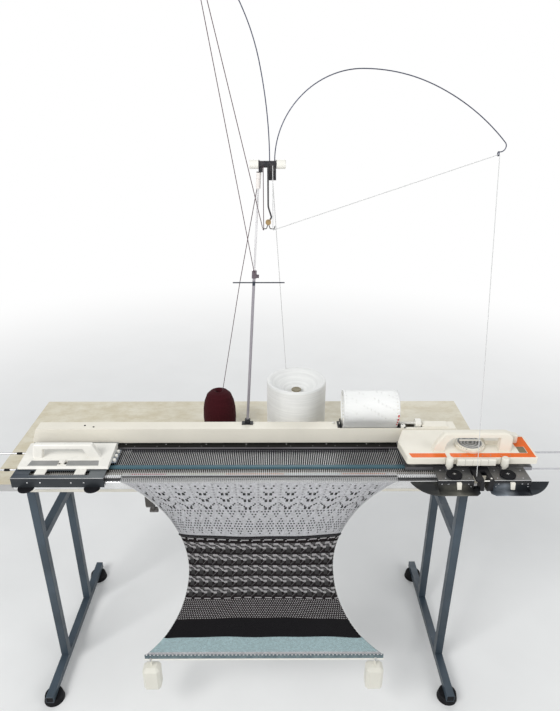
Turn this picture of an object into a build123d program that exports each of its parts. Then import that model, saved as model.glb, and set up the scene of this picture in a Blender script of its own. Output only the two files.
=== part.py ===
from build123d import *
import math
import os

# Domestic knitting machine on its stand, in millimetres.
# Sizes below are measured from the middle of the table top's front edge:
# +X to the knitter's right, +Y away from the knitter, +Z up.
# save() moves every piece into the part's own frame, whose origin is on the
# floor under the centre of the whole object.

# Table and stand
TABLE_LENGTH = 1240.0
TABLE_DEPTH = 414.0
TABLE_THICK = 20.0
TABLE_HEIGHT = 748.0
TABLE_CORNER = 4.0
TUBE = 22.0
TUBE_WALL = 1.6
LEG_X = 572.0
LEG_FRONT_Y = 106.0
LEG_REAR_Y = 327.5
UPPER_BAR_DROP = 236.0
LEG_FLANGE_WIDTH = 44.0
LEG_FLANGE_THICK = 4.0
FOOT_FRONT_Y = -44.0
FOOT_REAR_Y = 482.0
FOOT_PAD_RADIUS = 29.0
FOOT_PAD_HEIGHT = 20.0
FOOT_PAD_INSET = 30.0

# Needle gauge
NEEDLE_PITCH = 4.5
NEEDLE_COUNT = 200
SLOT_WIDTH = 1.8
SLOT_DEPTH = 6.0
NEEDLE_THICK = 1.3
NEEDLE_STEM = 2.7
NEEDLE_LIFT = 0.1
NEEDLE_LENGTH = 104.0
BUTT_LENGTH = 3.0
BUTT_HEIGHT = 4.4
IDLE_SETBACK = 9.0
WORKING_LEFT_X = -279.0
WORKING_RIGHT_X = 351.0

# Machine bed and case
BED_LENGTH = 1050.0
BED_TOP = 62.0
BED_THICK = 12.0
BED_FRONT_Y = -60.0
BED_REAR_Y = 86.0
PEG_HEIGHT = 4.0
PEG_DEPTH = 4.0
SLOT_REAR_Y = 56.5
RAIL_FRONT_Y = 57.5
RAIL_WIDTH = 14.0
RAIL_HEIGHT = 4.0
RETAINER_FRONT_Y = -24.0
RETAINER_WIDTH = 10.0
FRONT_RAIL_DEPTH = 6.0
FRONT_RAIL_DROP = 22.0
CASE_WALL = 3.0
CASE_FOOT = 6.0
CASE_FRONT_Y = -44.0
CASE_REAR_Y = 152.0
COVER_TOP = 100.0
COVER_EDGE_Y = 89.0
COVER_BACK_EDGE_Y = 124.0
COVER_REAR_TOP = 76.0
COVER_END_DRAFT = 10.0
COVER_WALL = 2.6
COVER_OVERHANG = 8.0
COUNTER_X0 = 443.0
COUNTER_X1 = 506.0
COUNTER_RISE = 2.0

# Extension rails
RAIL_ROD_RADIUS = 2.0
RAIL_ROD_REACH = 790.0
RAIL_ROD_REAR_Y = 47.5
RAIL_ROD_FRONT_Y = -21.0
RAIL_ROD_Z = 57.0
RAIL_ROD_DEPTH = 20.0
RAIL_ROD_CLEARANCE = 0.05
RAIL_BEND = 14.0

# Card reader
CARD_X0 = 240.0
CARD_X1 = 376.0
CARD_THICK = 0.5
CARD_LOOP_RADIUS = 42.0
CARD_LOOP_Y = 115.0
CARD_LOOP_Z = 148.0
DRUM_RADIUS = 13.0
DRUM_Y = 110.0
DRUM_Z = 104.0
DRUM_SHAFT_RADIUS = 3.0
CARD_GAP = 0.4
READER_PLATE = 3.0
READER_SIDE_GAP = 3.0
LEVER_PIVOT_Y = 118.5
LEVER_PIVOT_Z = 107.0
LEVER_PIN_RADIUS = 1.5
READER_KNOB_RADIUS = 11.5
READER_KNOB_X0 = 423.0
READER_KNOB_X1 = 438.0

# Main carriage
K_X0 = 366.0
K_X1 = 676.0
K_FRONT_Y = -40.0
K_BACK_Y = 83.0
K_TOP = 102.0
K_SKIRT = 84.0
K_WALL = 3.0
K_CORNER = 7.0
PLATE_BOTTOM = 68.0
PLATE_THICK = 3.0
RUN_CLEARANCE = 0.3
HANDLE_X0 = 438.0
HANDLE_X1 = 622.0
HANDLE_Y = -8.0
HANDLE_DEPTH = 16.0
HANDLE_TOP = 151.0
HANDLE_GRIP = 12.0
DIAL_X = 530.0
DIAL_Y = 9.0
DIAL_RADIUS = 34.0
SPINDLE_RADIUS = 5.0
SPINDLE_CLEARANCE = 0.05
CHANGE_KNOB_X = 640.0
CHANGE_KNOB_Y = 28.0
CHANGE_KNOB_RADIUS = 9.5
CHANGE_KNOB_HEIGHT = 20.0
BUTTON_COUNT = 5
BUTTON_PITCH = 17.6
BUTTON_MID_X = 532.0
BUTTON_GAP = 0.5
BUTTON_HEIGHT = 17.0
BUTTON_REACH = 8.0
BUTTON_TRAVEL = 4.0
THUMB_X = (471.0, 598.0)
THUMB_Y = -44.0
THUMB_RADIUS = 8.5

# Sinker plate assembly
SINKER_X = ((437.0, 518.0), (562.0, 646.0))
SINKER_REAR_Y = -36.0
SINKER_FRONT_Y = -86.0
SINKER_TOP = 72.0
SINKER_THICK = 2.0
WING_TOP = 46.0
WING_THICK = 2.5
WING_RISE = 12.0
WING_REAR_Y = -71.0
WING_FRONT_Y = -105.0
WING_TIPS = (379.0, 694.0)
WING_ENDS = (532.0, 556.0)
DISC_X = (477.5, 598.6)
DISC_Y = -67.0
DISC_RADIUS = 17.5
BRUSH_RADIUS = 11.0
FEEDER_X0 = 520.0
FEEDER_X1 = 560.0
FEEDER_THICK = 5.0
YARN_HOLE_X = 525.0
YARN_HOLE_Y = -76.0
YARN_HOLE_RADIUS = 2.0
LEVER_X = (484.0, 604.0)

# Lace carriage
L_X0 = -521.0
L_X1 = -313.0
L_FRONT_Y = -38.0
L_BACK_Y = 56.0
L_PLATE_FRONT_Y = -72.0
L_PLATE_TOP = 70.0
L_BODY_FRONT_TOP = 78.0
L_BODY_BACK_TOP = 86.0
L_FLANGE_BOTTOM = 45.0

# Mast and tension unit
MAST_Y = 118.0
MAST_LEAN = 3.45
MAST_FOOT_Z = 92.0
LOWER_ROD_RADIUS = 3.4
UPPER_ROD_RADIUS = 2.3
GUIDE_BAR_RADIUS = 1.4
GUIDE_BAR_Z = 467.5
MAST_LOWER_TOP = 402.0
MAST_UPPER_FOOT = 378.0
MAST_UPPER_TOP = 617.0
UNIT_Z = 726.0
UNIT_X0 = 38.3
UNIT_X1 = 76.0
UNIT_RADIUS = 7.0
DIAL_PIN_RADIUS = 3.0
TENSION_KNOB_RADIUS = 9.5
TENSION_KNOB_LENGTH = 19.0
WIRE_RADIUS = 1.1
WIRE_ROOTS = (61.5, 72.0)
WIRE_ROOT_Z = UNIT_Z + 5.0
LEFT_WIRE_ARCS = ((900, 12), (405, 35.8))
RIGHT_WIRE_ARCS = ((174.4, -90), (370, -23), (482, -22.8), (11, -150))
EYE_RADIUS = 4.2
HOOK_Y = 109.0
HOOK_Z = 593.0
HOOK_X = 58.0
HOOK_REACH = 13.0
HOOK_RADIUS = 1.0

# Yarn
WHITE_X = 129.0
WHITE_Y = 238.0
WHITE_RADIUS = 79.0
WHITE_HEIGHT = 164.0
DARK_X = -80.0
DARK_Y = 238.0
DARK_RADIUS = 45.0
DARK_HEIGHT = 132.0
YARN_RADIUS = 0.8
YARN_REST_GAP = 0.3

# Knitting in progress
FABRIC_THICK = 2.2
FABRIC_GAP = 0.3
FABRIC_TOP = 56.0
WAIST_Z = -215.0
WAIST_LEFT_X = -141.0
WAIST_RIGHT_X = 215.0
HEM_Z = -504.0
HEM_LEFT_X = -272.0
HEM_RIGHT_X = 356.0
COMB_LEFT_X = -277.0
COMB_RIGHT_X = 360.0
COMB_HEIGHT = 14.0
COMB_THICK = 3.0
COMB_TEETH = 64
WEIGHT_X = (-262.0, 339.0)
WEIGHT_WIDTH = 46.0
WEIGHT_HEIGHT = 72.0

# Table clamps
CLAMP_X = (-234.0, 234.0)
CLAMP_WIDTH = 18.0
CLAMP_PAD_RADIUS = 8.0
CLAMP_SCREW_RADIUS = 4.0
CLAMP_SCREW_Y = 26.0
CLAMP_ARM_Z = -62.0

ORIGIN_Y = (FOOT_REAR_Y + WING_FRONT_Y) / 2
FLOOR_Z = -TABLE_HEIGHT
SLOT_FLOOR = BED_TOP - SLOT_DEPTH
NEEDLE_BOTTOM = SLOT_FLOOR + NEEDLE_LIFT
NEEDLE_TIP_Y = BED_FRONT_Y + 2.0
RAIL_TOP = BED_TOP + RAIL_HEIGHT
PLATE_TOP = PLATE_BOTTOM + PLATE_THICK


def save(name, shape):
    """Move a piece into the part's own frame and write it."""
    export_step(Pos(0, -ORIGIN_Y, TABLE_HEIGHT) * shape, f"parts/{name}.step")


def block(x0, x1, y0, y1, z0, z1):
    centre = Pos((x0 + x1) / 2, (y0 + y1) / 2, (z0 + z1) / 2)
    return centre * Box(x1 - x0, y1 - y0, z1 - z0)


def rod(start, end, radius):
    line = Line(start, end)
    return sweep(Plane(start, z_dir=line % 0) * Circle(radius), path=line)


def post(x, y, z0, z1, radius):
    return Pos(x, y, (z0 + z1) / 2) * Cylinder(radius, z1 - z0)


def axle(x0, x1, y, z, radius):
    return Pos((x0 + x1) / 2, y, z) * Rot(0, 90, 0) * Cylinder(radius, x1 - x0)


def along_x(face, x0, x1):
    """Extrude an outline drawn in (y, z) from x0 to x1."""
    return Pos(x0, 0, 0) * extrude(Plane.YZ * face, amount=x1 - x0)


def along_y(face, y0, y1):
    """Extrude an outline drawn in (x, z) from y0 to y1."""
    return Pos(0, y1, 0) * extrude(Plane.XZ * face, amount=y1 - y0)


def along_z(face, z0, z1):
    """Extrude an outline drawn in (x, y) from z0 to z1."""
    return Pos(0, 0, z0) * extrude(face, amount=z1 - z0)


def outline(*points):
    return make_face(Polyline(*points, close=True))


def swept(points, radii, radius, plane=Plane.XY):
    """A round wire along straight runs joined by tangent arcs."""
    path = FilletPolyline(*points, radius=radii)
    return sweep(Plane(path @ 0, z_dir=path % 0) * Circle(radius), path=path)


def table_top():
    board = block(-TABLE_LENGTH / 2, TABLE_LENGTH / 2, 0, TABLE_DEPTH, -TABLE_THICK, 0)
    return fillet(board.edges().filter_by(Axis.Z), TABLE_CORNER)


def tube(x0, x1, y0, y1, z0, z1, run):
    """A square steel tube, open along the named axis."""
    inner = {
        "y": (x0 + TUBE_WALL, x1 - TUBE_WALL, y0 - 1, y1 + 1, z0 + TUBE_WALL, z1 - TUBE_WALL),
        "z": (x0 + TUBE_WALL, x1 - TUBE_WALL, y0 + TUBE_WALL, y1 - TUBE_WALL, z0 - 1, z1 + 1),
    }[run]
    return block(x0, x1, y0, y1, z0, z1) - block(*inner)


def leg_frame(side):
    """Two upright tubes, the bar welded between them and the flange under the table."""
    x0 = side * LEG_X - TUBE / 2
    x1 = side * LEG_X + TUBE / 2
    foot_top = FLOOR_Z + FOOT_PAD_HEIGHT + TUBE
    top = -TABLE_THICK - LEG_FLANGE_THICK
    half = TUBE / 2
    front = tube(x0, x1, LEG_FRONT_Y - half, LEG_FRONT_Y + half, foot_top, top, "z")
    rear = tube(x0, x1, LEG_REAR_Y - half, LEG_REAR_Y + half, foot_top, top, "z")
    bar_z = -TABLE_THICK - UPPER_BAR_DROP
    bar = tube(x0, x1, LEG_FRONT_Y + half, LEG_REAR_Y - half, bar_z - half, bar_z + half, "y")
    middle = side * LEG_X
    flange = block(middle - LEG_FLANGE_WIDTH / 2, middle + LEG_FLANGE_WIDTH / 2,
                   LEG_FRONT_Y - 40, LEG_REAR_Y + 40, top, -TABLE_THICK)
    return front + rear + bar + flange


def foot_bar(side):
    bottom = FLOOR_Z + FOOT_PAD_HEIGHT
    x0 = side * LEG_X - TUBE / 2
    x1 = side * LEG_X + TUBE / 2
    return tube(x0, x1, FOOT_FRONT_Y, FOOT_REAR_Y, bottom, bottom + TUBE, "y")


def rubber_foot(side, y):
    """A round rubber pad, a little wider at the floor."""
    x = side * LEG_X
    pad = Pos(x, y, FLOOR_Z) * Cone(FOOT_PAD_RADIUS, FOOT_PAD_RADIUS - 4, FOOT_PAD_HEIGHT,
                                    align=(Align.CENTER, Align.CENTER, Align.MIN))
    return pad


def stand():
    sides = (-1, 1)
    save("leg_frames", Compound([leg_frame(side) for side in sides]))
    save("foot_bars", Compound([foot_bar(side) for side in sides]))
    ends = (FOOT_FRONT_Y + FOOT_PAD_INSET, FOOT_REAR_Y - FOOT_PAD_INSET)
    save("rubber_feet", Compound([rubber_foot(side, y) for side in sides for y in ends]))
    save("table_top", table_top())


def machine_base():
    """The lower case: a long tray with closed ends, open on top under the bed."""
    half = BED_LENGTH / 2
    rim = BED_TOP - BED_THICK
    profile = outline((CASE_FRONT_Y + 14, 0), (CASE_FRONT_Y, 18), (CASE_FRONT_Y, rim),
                      (CASE_REAR_Y, rim), (CASE_REAR_Y, 0))
    tray = along_x(profile, -half, half)
    inner = outline((CASE_FRONT_Y + 14 + CASE_WALL, CASE_FOOT), (CASE_FRONT_Y + CASE_WALL, 20),
                    (CASE_FRONT_Y + CASE_WALL, rim + 1), (CASE_REAR_Y - CASE_WALL, rim + 1),
                    (CASE_REAR_Y - CASE_WALL, CASE_FOOT))
    return tray - along_x(inner, -half + CASE_WALL, half - CASE_WALL)


def slot_centres():
    first = -(NEEDLE_COUNT - 1) / 2 * NEEDLE_PITCH
    return [first + NEEDLE_PITCH * count for count in range(NEEDLE_COUNT)]


def needle_bed():
    """The slotted bed: each land ends in a gate peg at the front."""
    half = BED_LENGTH / 2
    peg_top = BED_TOP + PEG_HEIGHT
    profile = outline((BED_FRONT_Y, BED_TOP - BED_THICK), (BED_FRONT_Y, peg_top),
                      (BED_FRONT_Y + PEG_DEPTH, peg_top), (BED_FRONT_Y + PEG_DEPTH + 2, BED_TOP),
                      (BED_REAR_Y, BED_TOP), (BED_REAR_Y, BED_TOP - BED_THICK))
    plate = along_x(profile, -half, half)
    for side in (-1, 1):
        end = side * (NEEDLE_COUNT / 2 * NEEDLE_PITCH + 1.35)
        blank = (end, half + 1) if side > 0 else (-half - 1, end)
        plate -= block(*blank, BED_FRONT_Y - 1, BED_FRONT_Y + PEG_DEPTH + 2, BED_TOP, peg_top + 1)
    slots = [block(x - SLOT_WIDTH / 2, x + SLOT_WIDTH / 2, BED_FRONT_Y - 1, SLOT_REAR_Y,
                   SLOT_FLOOR, peg_top + 1) for x in slot_centres()]
    sockets = [axle(side * half - side * RAIL_ROD_DEPTH / 2 - RAIL_ROD_DEPTH / 2,
                    side * half - side * RAIL_ROD_DEPTH / 2 + RAIL_ROD_DEPTH / 2,
                    y, RAIL_ROD_Z, RAIL_ROD_RADIUS + RAIL_ROD_CLEARANCE)
               for side in (-1, 1) for y in (RAIL_ROD_REAR_Y, RAIL_ROD_FRONT_Y)]
    return plate - slots - sockets


def needle(x, setback):
    """One flat needle: the stem in its slot and the butt standing up at its tail."""
    tip = NEEDLE_TIP_Y + setback
    tail = tip + NEEDLE_LENGTH
    stem_top = NEEDLE_BOTTOM + NEEDLE_STEM
    butt_top = BED_TOP + BUTT_HEIGHT
    profile = outline((tip, NEEDLE_BOTTOM), (tail, NEEDLE_BOTTOM), (tail, butt_top),
                      (tail - BUTT_LENGTH, butt_top), (tail - BUTT_LENGTH, stem_top),
                      (tip, stem_top))
    return along_x(profile, x - NEEDLE_THICK / 2, x + NEEDLE_THICK / 2)


def needles():
    centres = slot_centres()
    working = [x for x in centres if WORKING_LEFT_X < x < WORKING_RIGHT_X]
    idle = [x for x in centres if x not in working]
    save("working_needles", Compound([needle(x, 0) for x in working]))
    save("idle_needles", Compound([needle(x, IDLE_SETBACK) for x in idle]))


def rear_rail():
    """The steel rail that the carriages hook over, with a rounded front edge."""
    half = BED_LENGTH / 2 - 4
    bar = block(-half, half, RAIL_FRONT_Y, RAIL_FRONT_Y + RAIL_WIDTH, BED_TOP, RAIL_TOP)
    return chamfer(bar.edges().filter_by(Axis.X).group_by(Axis.Z)[-1], 0.8)


def needle_retainer():
    """The flat bar that holds the needles down in their slots."""
    half = NEEDLE_COUNT / 2 * NEEDLE_PITCH + 12
    bar = block(-half, half, RETAINER_FRONT_Y, RETAINER_FRONT_Y + RETAINER_WIDTH,
                BED_TOP, BED_TOP + 3)
    lip = block(-half, half, RETAINER_FRONT_Y - 2.5, RETAINER_FRONT_Y, BED_TOP, BED_TOP + 1.6)
    return bar + lip


def front_rail():
    """The bright steel strip under the gate pegs, lipped under the bed."""
    half = BED_LENGTH / 2
    top = BED_TOP - SLOT_DEPTH - 1
    foot = top - FRONT_RAIL_DROP
    face_y = BED_FRONT_Y - FRONT_RAIL_DEPTH
    profile = outline((face_y, foot + 3), (face_y, top - 1), (face_y + 1, top), (BED_FRONT_Y, top),
                      (BED_FRONT_Y, BED_TOP - BED_THICK), (CASE_FRONT_Y, BED_TOP - BED_THICK),
                      (CASE_FRONT_Y, foot), (face_y + 3, foot))
    return along_x(profile, -half, half)


def cover_profile(wall):
    """Section of the rear cover, drawn inside its outer face by the wall given."""
    foot = BED_TOP - BED_THICK
    if wall:
        foot -= 1
    return outline((BED_REAR_Y + wall, foot), (BED_REAR_Y + wall, BED_TOP + 6),
                   (COVER_EDGE_Y + wall, COVER_TOP - wall),
                   (COVER_BACK_EDGE_Y - wall / 2, COVER_TOP - wall),
                   (CASE_REAR_Y - wall, COVER_REAR_TOP - wall), (CASE_REAR_Y - wall, foot))


def rear_cover():
    """The long top cover behind the bed, with the card slot and the mast socket."""
    half = BED_LENGTH / 2 + COVER_OVERHANG
    shell = along_x(cover_profile(0), -half, half)
    shell -= along_x(cover_profile(COVER_WALL), -half + CASE_WALL, half - CASE_WALL)
    for side in (-1, 1):
        cut = outline((side * half, COVER_REAR_TOP - 6), (side * (half + 5), COVER_REAR_TOP - 6),
                      (side * (half + 5), COVER_TOP + 1), (side * (half - COVER_END_DRAFT), COVER_TOP + 1))
        shell -= along_y(cut, BED_REAR_Y - 1, CASE_REAR_Y + 1)
        cap = outline((side * half, COVER_REAR_TOP - 6),
                      (side * (half - COVER_END_DRAFT), COVER_TOP + 1),
                      (side * (half - COVER_END_DRAFT - CASE_WALL), COVER_TOP + 1),
                      (side * (half - CASE_WALL), COVER_REAR_TOP - 6))
        whole = along_x(cover_profile(0), -half, half)
        shell += whole & along_y(cap, BED_REAR_Y - 1, CASE_REAR_Y + 1)
    counter = block(COUNTER_X0, COUNTER_X1, COVER_EDGE_Y + 6, COVER_BACK_EDGE_Y - 1,
                    COVER_TOP - COVER_WALL, COVER_TOP + COUNTER_RISE)
    ends = counter.edges().filter_by(Axis.Y).group_by(Axis.Z)[-1]
    counter = chamfer(ends, COUNTER_RISE * 0.8)
    shell += counter
    socket = block(-9, 9, MAST_Y - 8, MAST_Y + 8, COVER_TOP - 12, COVER_TOP - 0.1)
    shell += socket & along_x(cover_profile(0), -half, half)
    shell -= block(CARD_X0 - 4 - READER_PLATE, CARD_X1 + 4 + READER_PLATE, COVER_EDGE_Y + 4,
                   COVER_BACK_EDGE_Y + 8, COVER_TOP - 14, COVER_TOP + 5)
    shell -= block(CARD_X1, READER_KNOB_X1 + 3, DRUM_Y - READER_KNOB_RADIUS - 1.5,
                   DRUM_Y + READER_KNOB_RADIUS + 1.5, COVER_TOP - 9, COVER_TOP + 1)
    hole = mast_frame() * Cylinder(LOWER_ROD_RADIUS + 0.05, 80)
    return shell - hole


def extension_rail(side):
    """One round steel rod, bent to a long U and pushed into the bed's end."""
    inner = side * (BED_LENGTH / 2 - RAIL_ROD_DEPTH + 0.5)
    reach = side * (RAIL_ROD_REACH - RAIL_ROD_RADIUS)
    points = [(inner, RAIL_ROD_REAR_Y, RAIL_ROD_Z), (reach, RAIL_ROD_REAR_Y, RAIL_ROD_Z),
              (reach, RAIL_ROD_FRONT_Y, RAIL_ROD_Z), (inner, RAIL_ROD_FRONT_Y, RAIL_ROD_Z)]
    return swept(points, [RAIL_BEND, RAIL_BEND], RAIL_ROD_RADIUS)


def teardrop(grow):
    """The card loop's outline in (y, z): round the drum below, a wide bulge above."""
    drum = Pos(DRUM_Y, DRUM_Z) * Circle(DRUM_RADIUS + CARD_GAP + grow)
    bulge = Pos(CARD_LOOP_Y, CARD_LOOP_Z) * Circle(CARD_LOOP_RADIUS - CARD_THICK + grow)
    return make_hull((drum + bulge).edges())


def card_reader():
    """The card feed set into the cover: a loop of card, its drum and the frame that carries it."""
    card = along_x(teardrop(CARD_THICK), CARD_X0, CARD_X1)
    card -= along_x(teardrop(0), CARD_X0 - 1, CARD_X1 + 1)
    save("punch_card", card)
    save("card_reader_frame", card_reader_frame())
    save("card_feed_knob", card_feed_knob())
    save("card_lock_lever", card_lock_lever())


def card_reader_frame():
    """A U-shaped tray with bored side plates, hung on the cover by its rim."""
    left = CARD_X0 - READER_SIDE_GAP
    right = CARD_X1 + READER_SIDE_GAP
    y0 = DRUM_Y - 14
    y1 = DRUM_Y + 14
    floor_top = DRUM_Z - DRUM_RADIUS - CARD_GAP - CARD_THICK - 1
    top = COVER_TOP + 12
    frame = block(left - READER_PLATE, right + READER_PLATE, y0, y1, floor_top - READER_PLATE, floor_top)
    for x0 in (left - READER_PLATE, right):
        plate = block(x0, x0 + READER_PLATE, y0, y1, floor_top - READER_PLATE, top)
        frame += chamfer(plate.edges().filter_by(Axis.X).group_by(Axis.Z)[-1], 5)
    frame += block(left - READER_PLATE - 6, left, y0 - 2, y1, COVER_TOP, COVER_TOP + 1.5)
    frame += block(right, right + READER_PLATE + 6, y0 - 4, y0 + 1, COVER_TOP, COVER_TOP + 1.5)
    bore = DRUM_SHAFT_RADIUS + SPINDLE_CLEARANCE
    frame -= axle(left - READER_PLATE - 1, right + READER_PLATE + 1, DRUM_Y, DRUM_Z, bore)
    pivot_bore = LEVER_PIN_RADIUS + SPINDLE_CLEARANCE
    return frame - axle(right - 1, right + READER_PLATE + 1, LEVER_PIVOT_Y, LEVER_PIVOT_Z, pivot_bore)


def card_feed_knob():
    """The feed drum on its shaft, with the hand knob at the right end."""
    left = CARD_X0 - READER_SIDE_GAP - READER_PLATE
    drum = axle(CARD_X0 + 1, CARD_X1 - 1, DRUM_Y, DRUM_Z, DRUM_RADIUS)
    shaft = axle(left - 1, READER_KNOB_X0, DRUM_Y, DRUM_Z, DRUM_SHAFT_RADIUS)
    knob = axle(READER_KNOB_X0, READER_KNOB_X1, DRUM_Y, DRUM_Z, READER_KNOB_RADIUS)
    knob = chamfer(knob.edges().group_by(Axis.X)[-1], 1.5)
    return drum + shaft + knob


def card_lock_lever():
    """A small lever beside the reader that locks the card, with a round knob on top."""
    x0 = CARD_X1 + READER_SIDE_GAP + READER_PLATE + RUN_CLEARANCE
    lever = axle(x0, x0 + 4, LEVER_PIVOT_Y, LEVER_PIVOT_Z, 4)
    lever += axle(x0 - READER_PLATE, x0, LEVER_PIVOT_Y, LEVER_PIVOT_Z, LEVER_PIN_RADIUS)
    lever += block(x0, x0 + 4, LEVER_PIVOT_Y - 2.5, LEVER_PIVOT_Y + 2.5, LEVER_PIVOT_Z, LEVER_PIVOT_Z + 13)
    return lever + Pos(x0 + 2, LEVER_PIVOT_Y, LEVER_PIVOT_Z + 14) * Sphere(4.5)


def k_plan(inset):
    """Plan outline of the main carriage's body, with its rear corners cut off."""
    points = ((K_X0 + 9 + inset, K_FRONT_Y + inset), (K_X1 - inset, K_FRONT_Y + inset),
              (K_X1 - inset, 48), (K_X1 - 34 - inset / 2, K_BACK_Y - inset),
              (K_X0 + 20 + inset / 2, K_BACK_Y - inset), (K_X0 + inset, 30))
    face = outline(*points)
    return fillet(face.vertices(), K_CORNER)


def button_x(count):
    return BUTTON_MID_X + (count - (BUTTON_COUNT - 1) / 2) * BUTTON_PITCH


def k_body():
    """The main carriage's moulded body, open below, standing on four bosses."""
    body = along_z(k_plan(0), K_SKIRT, K_TOP)
    body = fillet(body.faces().sort_by(Axis.Z)[-1].edges(), 3)
    body -= along_z(k_plan(K_WALL), K_SKIRT - 1, K_TOP - K_WALL)
    bosses = [(K_X0 + 30, -14), (K_X1 - 30, -14), (K_X0 + 52, 58), (K_X1 - 52, 58)]
    for x, y in bosses:
        body += post(x, y, PLATE_TOP, K_TOP - K_WALL + 0.5, 6)
    for x in THUMB_X:
        body -= post(x, THUMB_Y, K_SKIRT - 1, K_TOP + 1, THUMB_RADIUS + 1)
    width = BUTTON_COUNT * BUTTON_PITCH + 1
    body -= block(BUTTON_MID_X - width / 2, BUTTON_MID_X + width / 2, K_FRONT_Y - 1,
                  K_FRONT_Y + K_WALL + BUTTON_TRAVEL + 3, K_SKIRT - 1, K_TOP - 1.5)
    rib = block(BUTTON_MID_X - width / 2, BUTTON_MID_X + width / 2, -26, -23,
                K_SKIRT + 1, K_TOP - K_WALL + 0.5)
    for count in range(BUTTON_COUNT):
        rib -= Pos(button_x(count), -24.5, 93) * Box(4.6, 10, 4.6)
    body += rib
    body += block(568, 606, 14, 52, K_TOP - 1, K_TOP + 10)
    bore = SPINDLE_RADIUS + SPINDLE_CLEARANCE
    body -= post(DIAL_X, DIAL_Y, K_TOP - 8, K_TOP + 1, bore)
    body -= post(CHANGE_KNOB_X, CHANGE_KNOB_Y, K_TOP - 8, K_TOP + 1, bore)
    return body


def k_handle():
    """The arched carrying handle: a long grip with a splayed left foot."""
    outer = outline((HANDLE_X0, K_TOP), (HANDLE_X0 + 9, 128), (HANDLE_X0 + 24, HANDLE_TOP),
                    (HANDLE_X1, HANDLE_TOP), (HANDLE_X1, K_TOP))
    tops = outer.vertices().group_by(Axis.Y)[-1]
    outer = fillet(tops.sort_by(Axis.X)[0], 14)
    tops = outer.vertices().group_by(Axis.Y)[-1]
    outer = fillet(tops.sort_by(Axis.X)[-1], 22)
    opening_top = HANDLE_TOP - HANDLE_GRIP
    inner = outline((HANDLE_X0 + 25, K_TOP - 1), (HANDLE_X0 + 31, 125), (HANDLE_X0 + 43, opening_top),
                    (HANDLE_X1 - 30, opening_top), (HANDLE_X1 - 30, K_TOP - 1))
    arch = along_y(outer - inner, HANDLE_Y - HANDLE_DEPTH / 2, HANDLE_Y + HANDLE_DEPTH / 2)
    rims = arch.edges().filter_by(Axis.X).group_by(Axis.Z)[-1]
    return fillet(rims, 5)


def cam(points):
    return along_z(outline(*points), PLATE_BOTTOM - 4.5, PLATE_BOTTOM)


def k_cam_plate():
    """The steel plate under the body: two runners and the cams that drive the butts."""
    x0 = K_X0 + 8
    x1 = K_X1 - 8
    middle = (K_X0 + K_X1) / 2
    plate = block(x0, x1, K_FRONT_Y + 6, 76, PLATE_BOTTOM, PLATE_TOP)
    plate += block(x0, x1, RAIL_FRONT_Y, RAIL_FRONT_Y + RAIL_WIDTH, RAIL_TOP + RUN_CLEARANCE, PLATE_BOTTOM)
    plate += block(x0, x1, RAIL_FRONT_Y + RAIL_WIDTH + RUN_CLEARANCE, 76, RAIL_TOP - 2.5, PLATE_BOTTOM)
    plate += block(x0, x1, K_FRONT_Y + 6, RETAINER_FRONT_Y - 3.5, BED_TOP + RUN_CLEARANCE, PLATE_BOTTOM)
    plate += cam(((middle - 60, 38), (middle + 60, 38), (middle + 42, 34), (middle, 8), (middle - 42, 34)))
    for side in (-1, 1):
        plate += cam(((middle + side * 66, 26), (middle + side * 18, -6), (middle + side * 30, -8),
                      (middle + side * 70, -2)))
    for x in THUMB_X:
        ear = block(x - 8, x + 8, THUMB_Y - 4.5, K_FRONT_Y + 8, SINKER_TOP, PLATE_TOP + 4)
        plate += ear + block(x - 8, x + 8, K_FRONT_Y + 6, K_FRONT_Y + 10, PLATE_TOP, PLATE_TOP + 4)
        plate -= post(x, THUMB_Y, SINKER_TOP - 1, PLATE_TOP + 5, 3.05)
    return plate


def k_tension_dial():
    """The stitch size dial: a wide rim, a raised face and a grip across it."""
    base = K_TOP + RUN_CLEARANCE
    rim = post(DIAL_X, DIAL_Y, base, base + 7, DIAL_RADIUS)
    face = post(DIAL_X, DIAL_Y, base + 7, base + 9.5, DIAL_RADIUS - 5)
    grip = block(DIAL_X - 24, DIAL_X + 24, DIAL_Y - 4, DIAL_Y + 4, base + 9, base + 15)
    grip = fillet(grip.edges().filter_by(Axis.Z), 3.5)
    spindle = post(DIAL_X, DIAL_Y, K_TOP - 7, base, SPINDLE_RADIUS)
    return rim + face + grip + spindle


def k_change_knob():
    base = K_TOP + RUN_CLEARANCE
    knob = post(CHANGE_KNOB_X, CHANGE_KNOB_Y, base, base + CHANGE_KNOB_HEIGHT, CHANGE_KNOB_RADIUS)
    knob = fillet(knob.edges().group_by(Axis.Z)[-1], 2)
    for side in (-1, 1):
        x = CHANGE_KNOB_X + side * (CHANGE_KNOB_RADIUS + 1.5)
        knob -= block(x - 4, x + 4, CHANGE_KNOB_Y - 12, CHANGE_KNOB_Y + 12, base + 7, base + 30)
    return knob + post(CHANGE_KNOB_X, CHANGE_KNOB_Y, K_TOP - 7, base, SPINDLE_RADIUS)


def k_button(count):
    """A push button that fills its share of the window and slides on a square stem."""
    x = button_x(count)
    half = (BUTTON_PITCH - BUTTON_GAP) / 2
    top = K_TOP - 2
    front = K_FRONT_Y - BUTTON_REACH
    key = block(x - half, x + half, front, K_FRONT_Y + 5, top - BUTTON_HEIGHT, top)
    key = fillet(key.edges().filter_by(Axis.X).group_by(Axis.Y)[0], 3)
    return key + Pos(x, -27, 93) * Box(4, 16, 4)


def k_thumb_screw(x):
    head = post(x, THUMB_Y, 82, K_TOP + 2, THUMB_RADIUS)
    head = chamfer(head.edges().group_by(Axis.Z)[-1], 2)
    collar = post(x, THUMB_Y, PLATE_TOP + 4, 82, 5)
    return head + collar + post(x, THUMB_Y, SINKER_TOP - SINKER_THICK - 3, PLATE_TOP + 4, 3)


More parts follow.
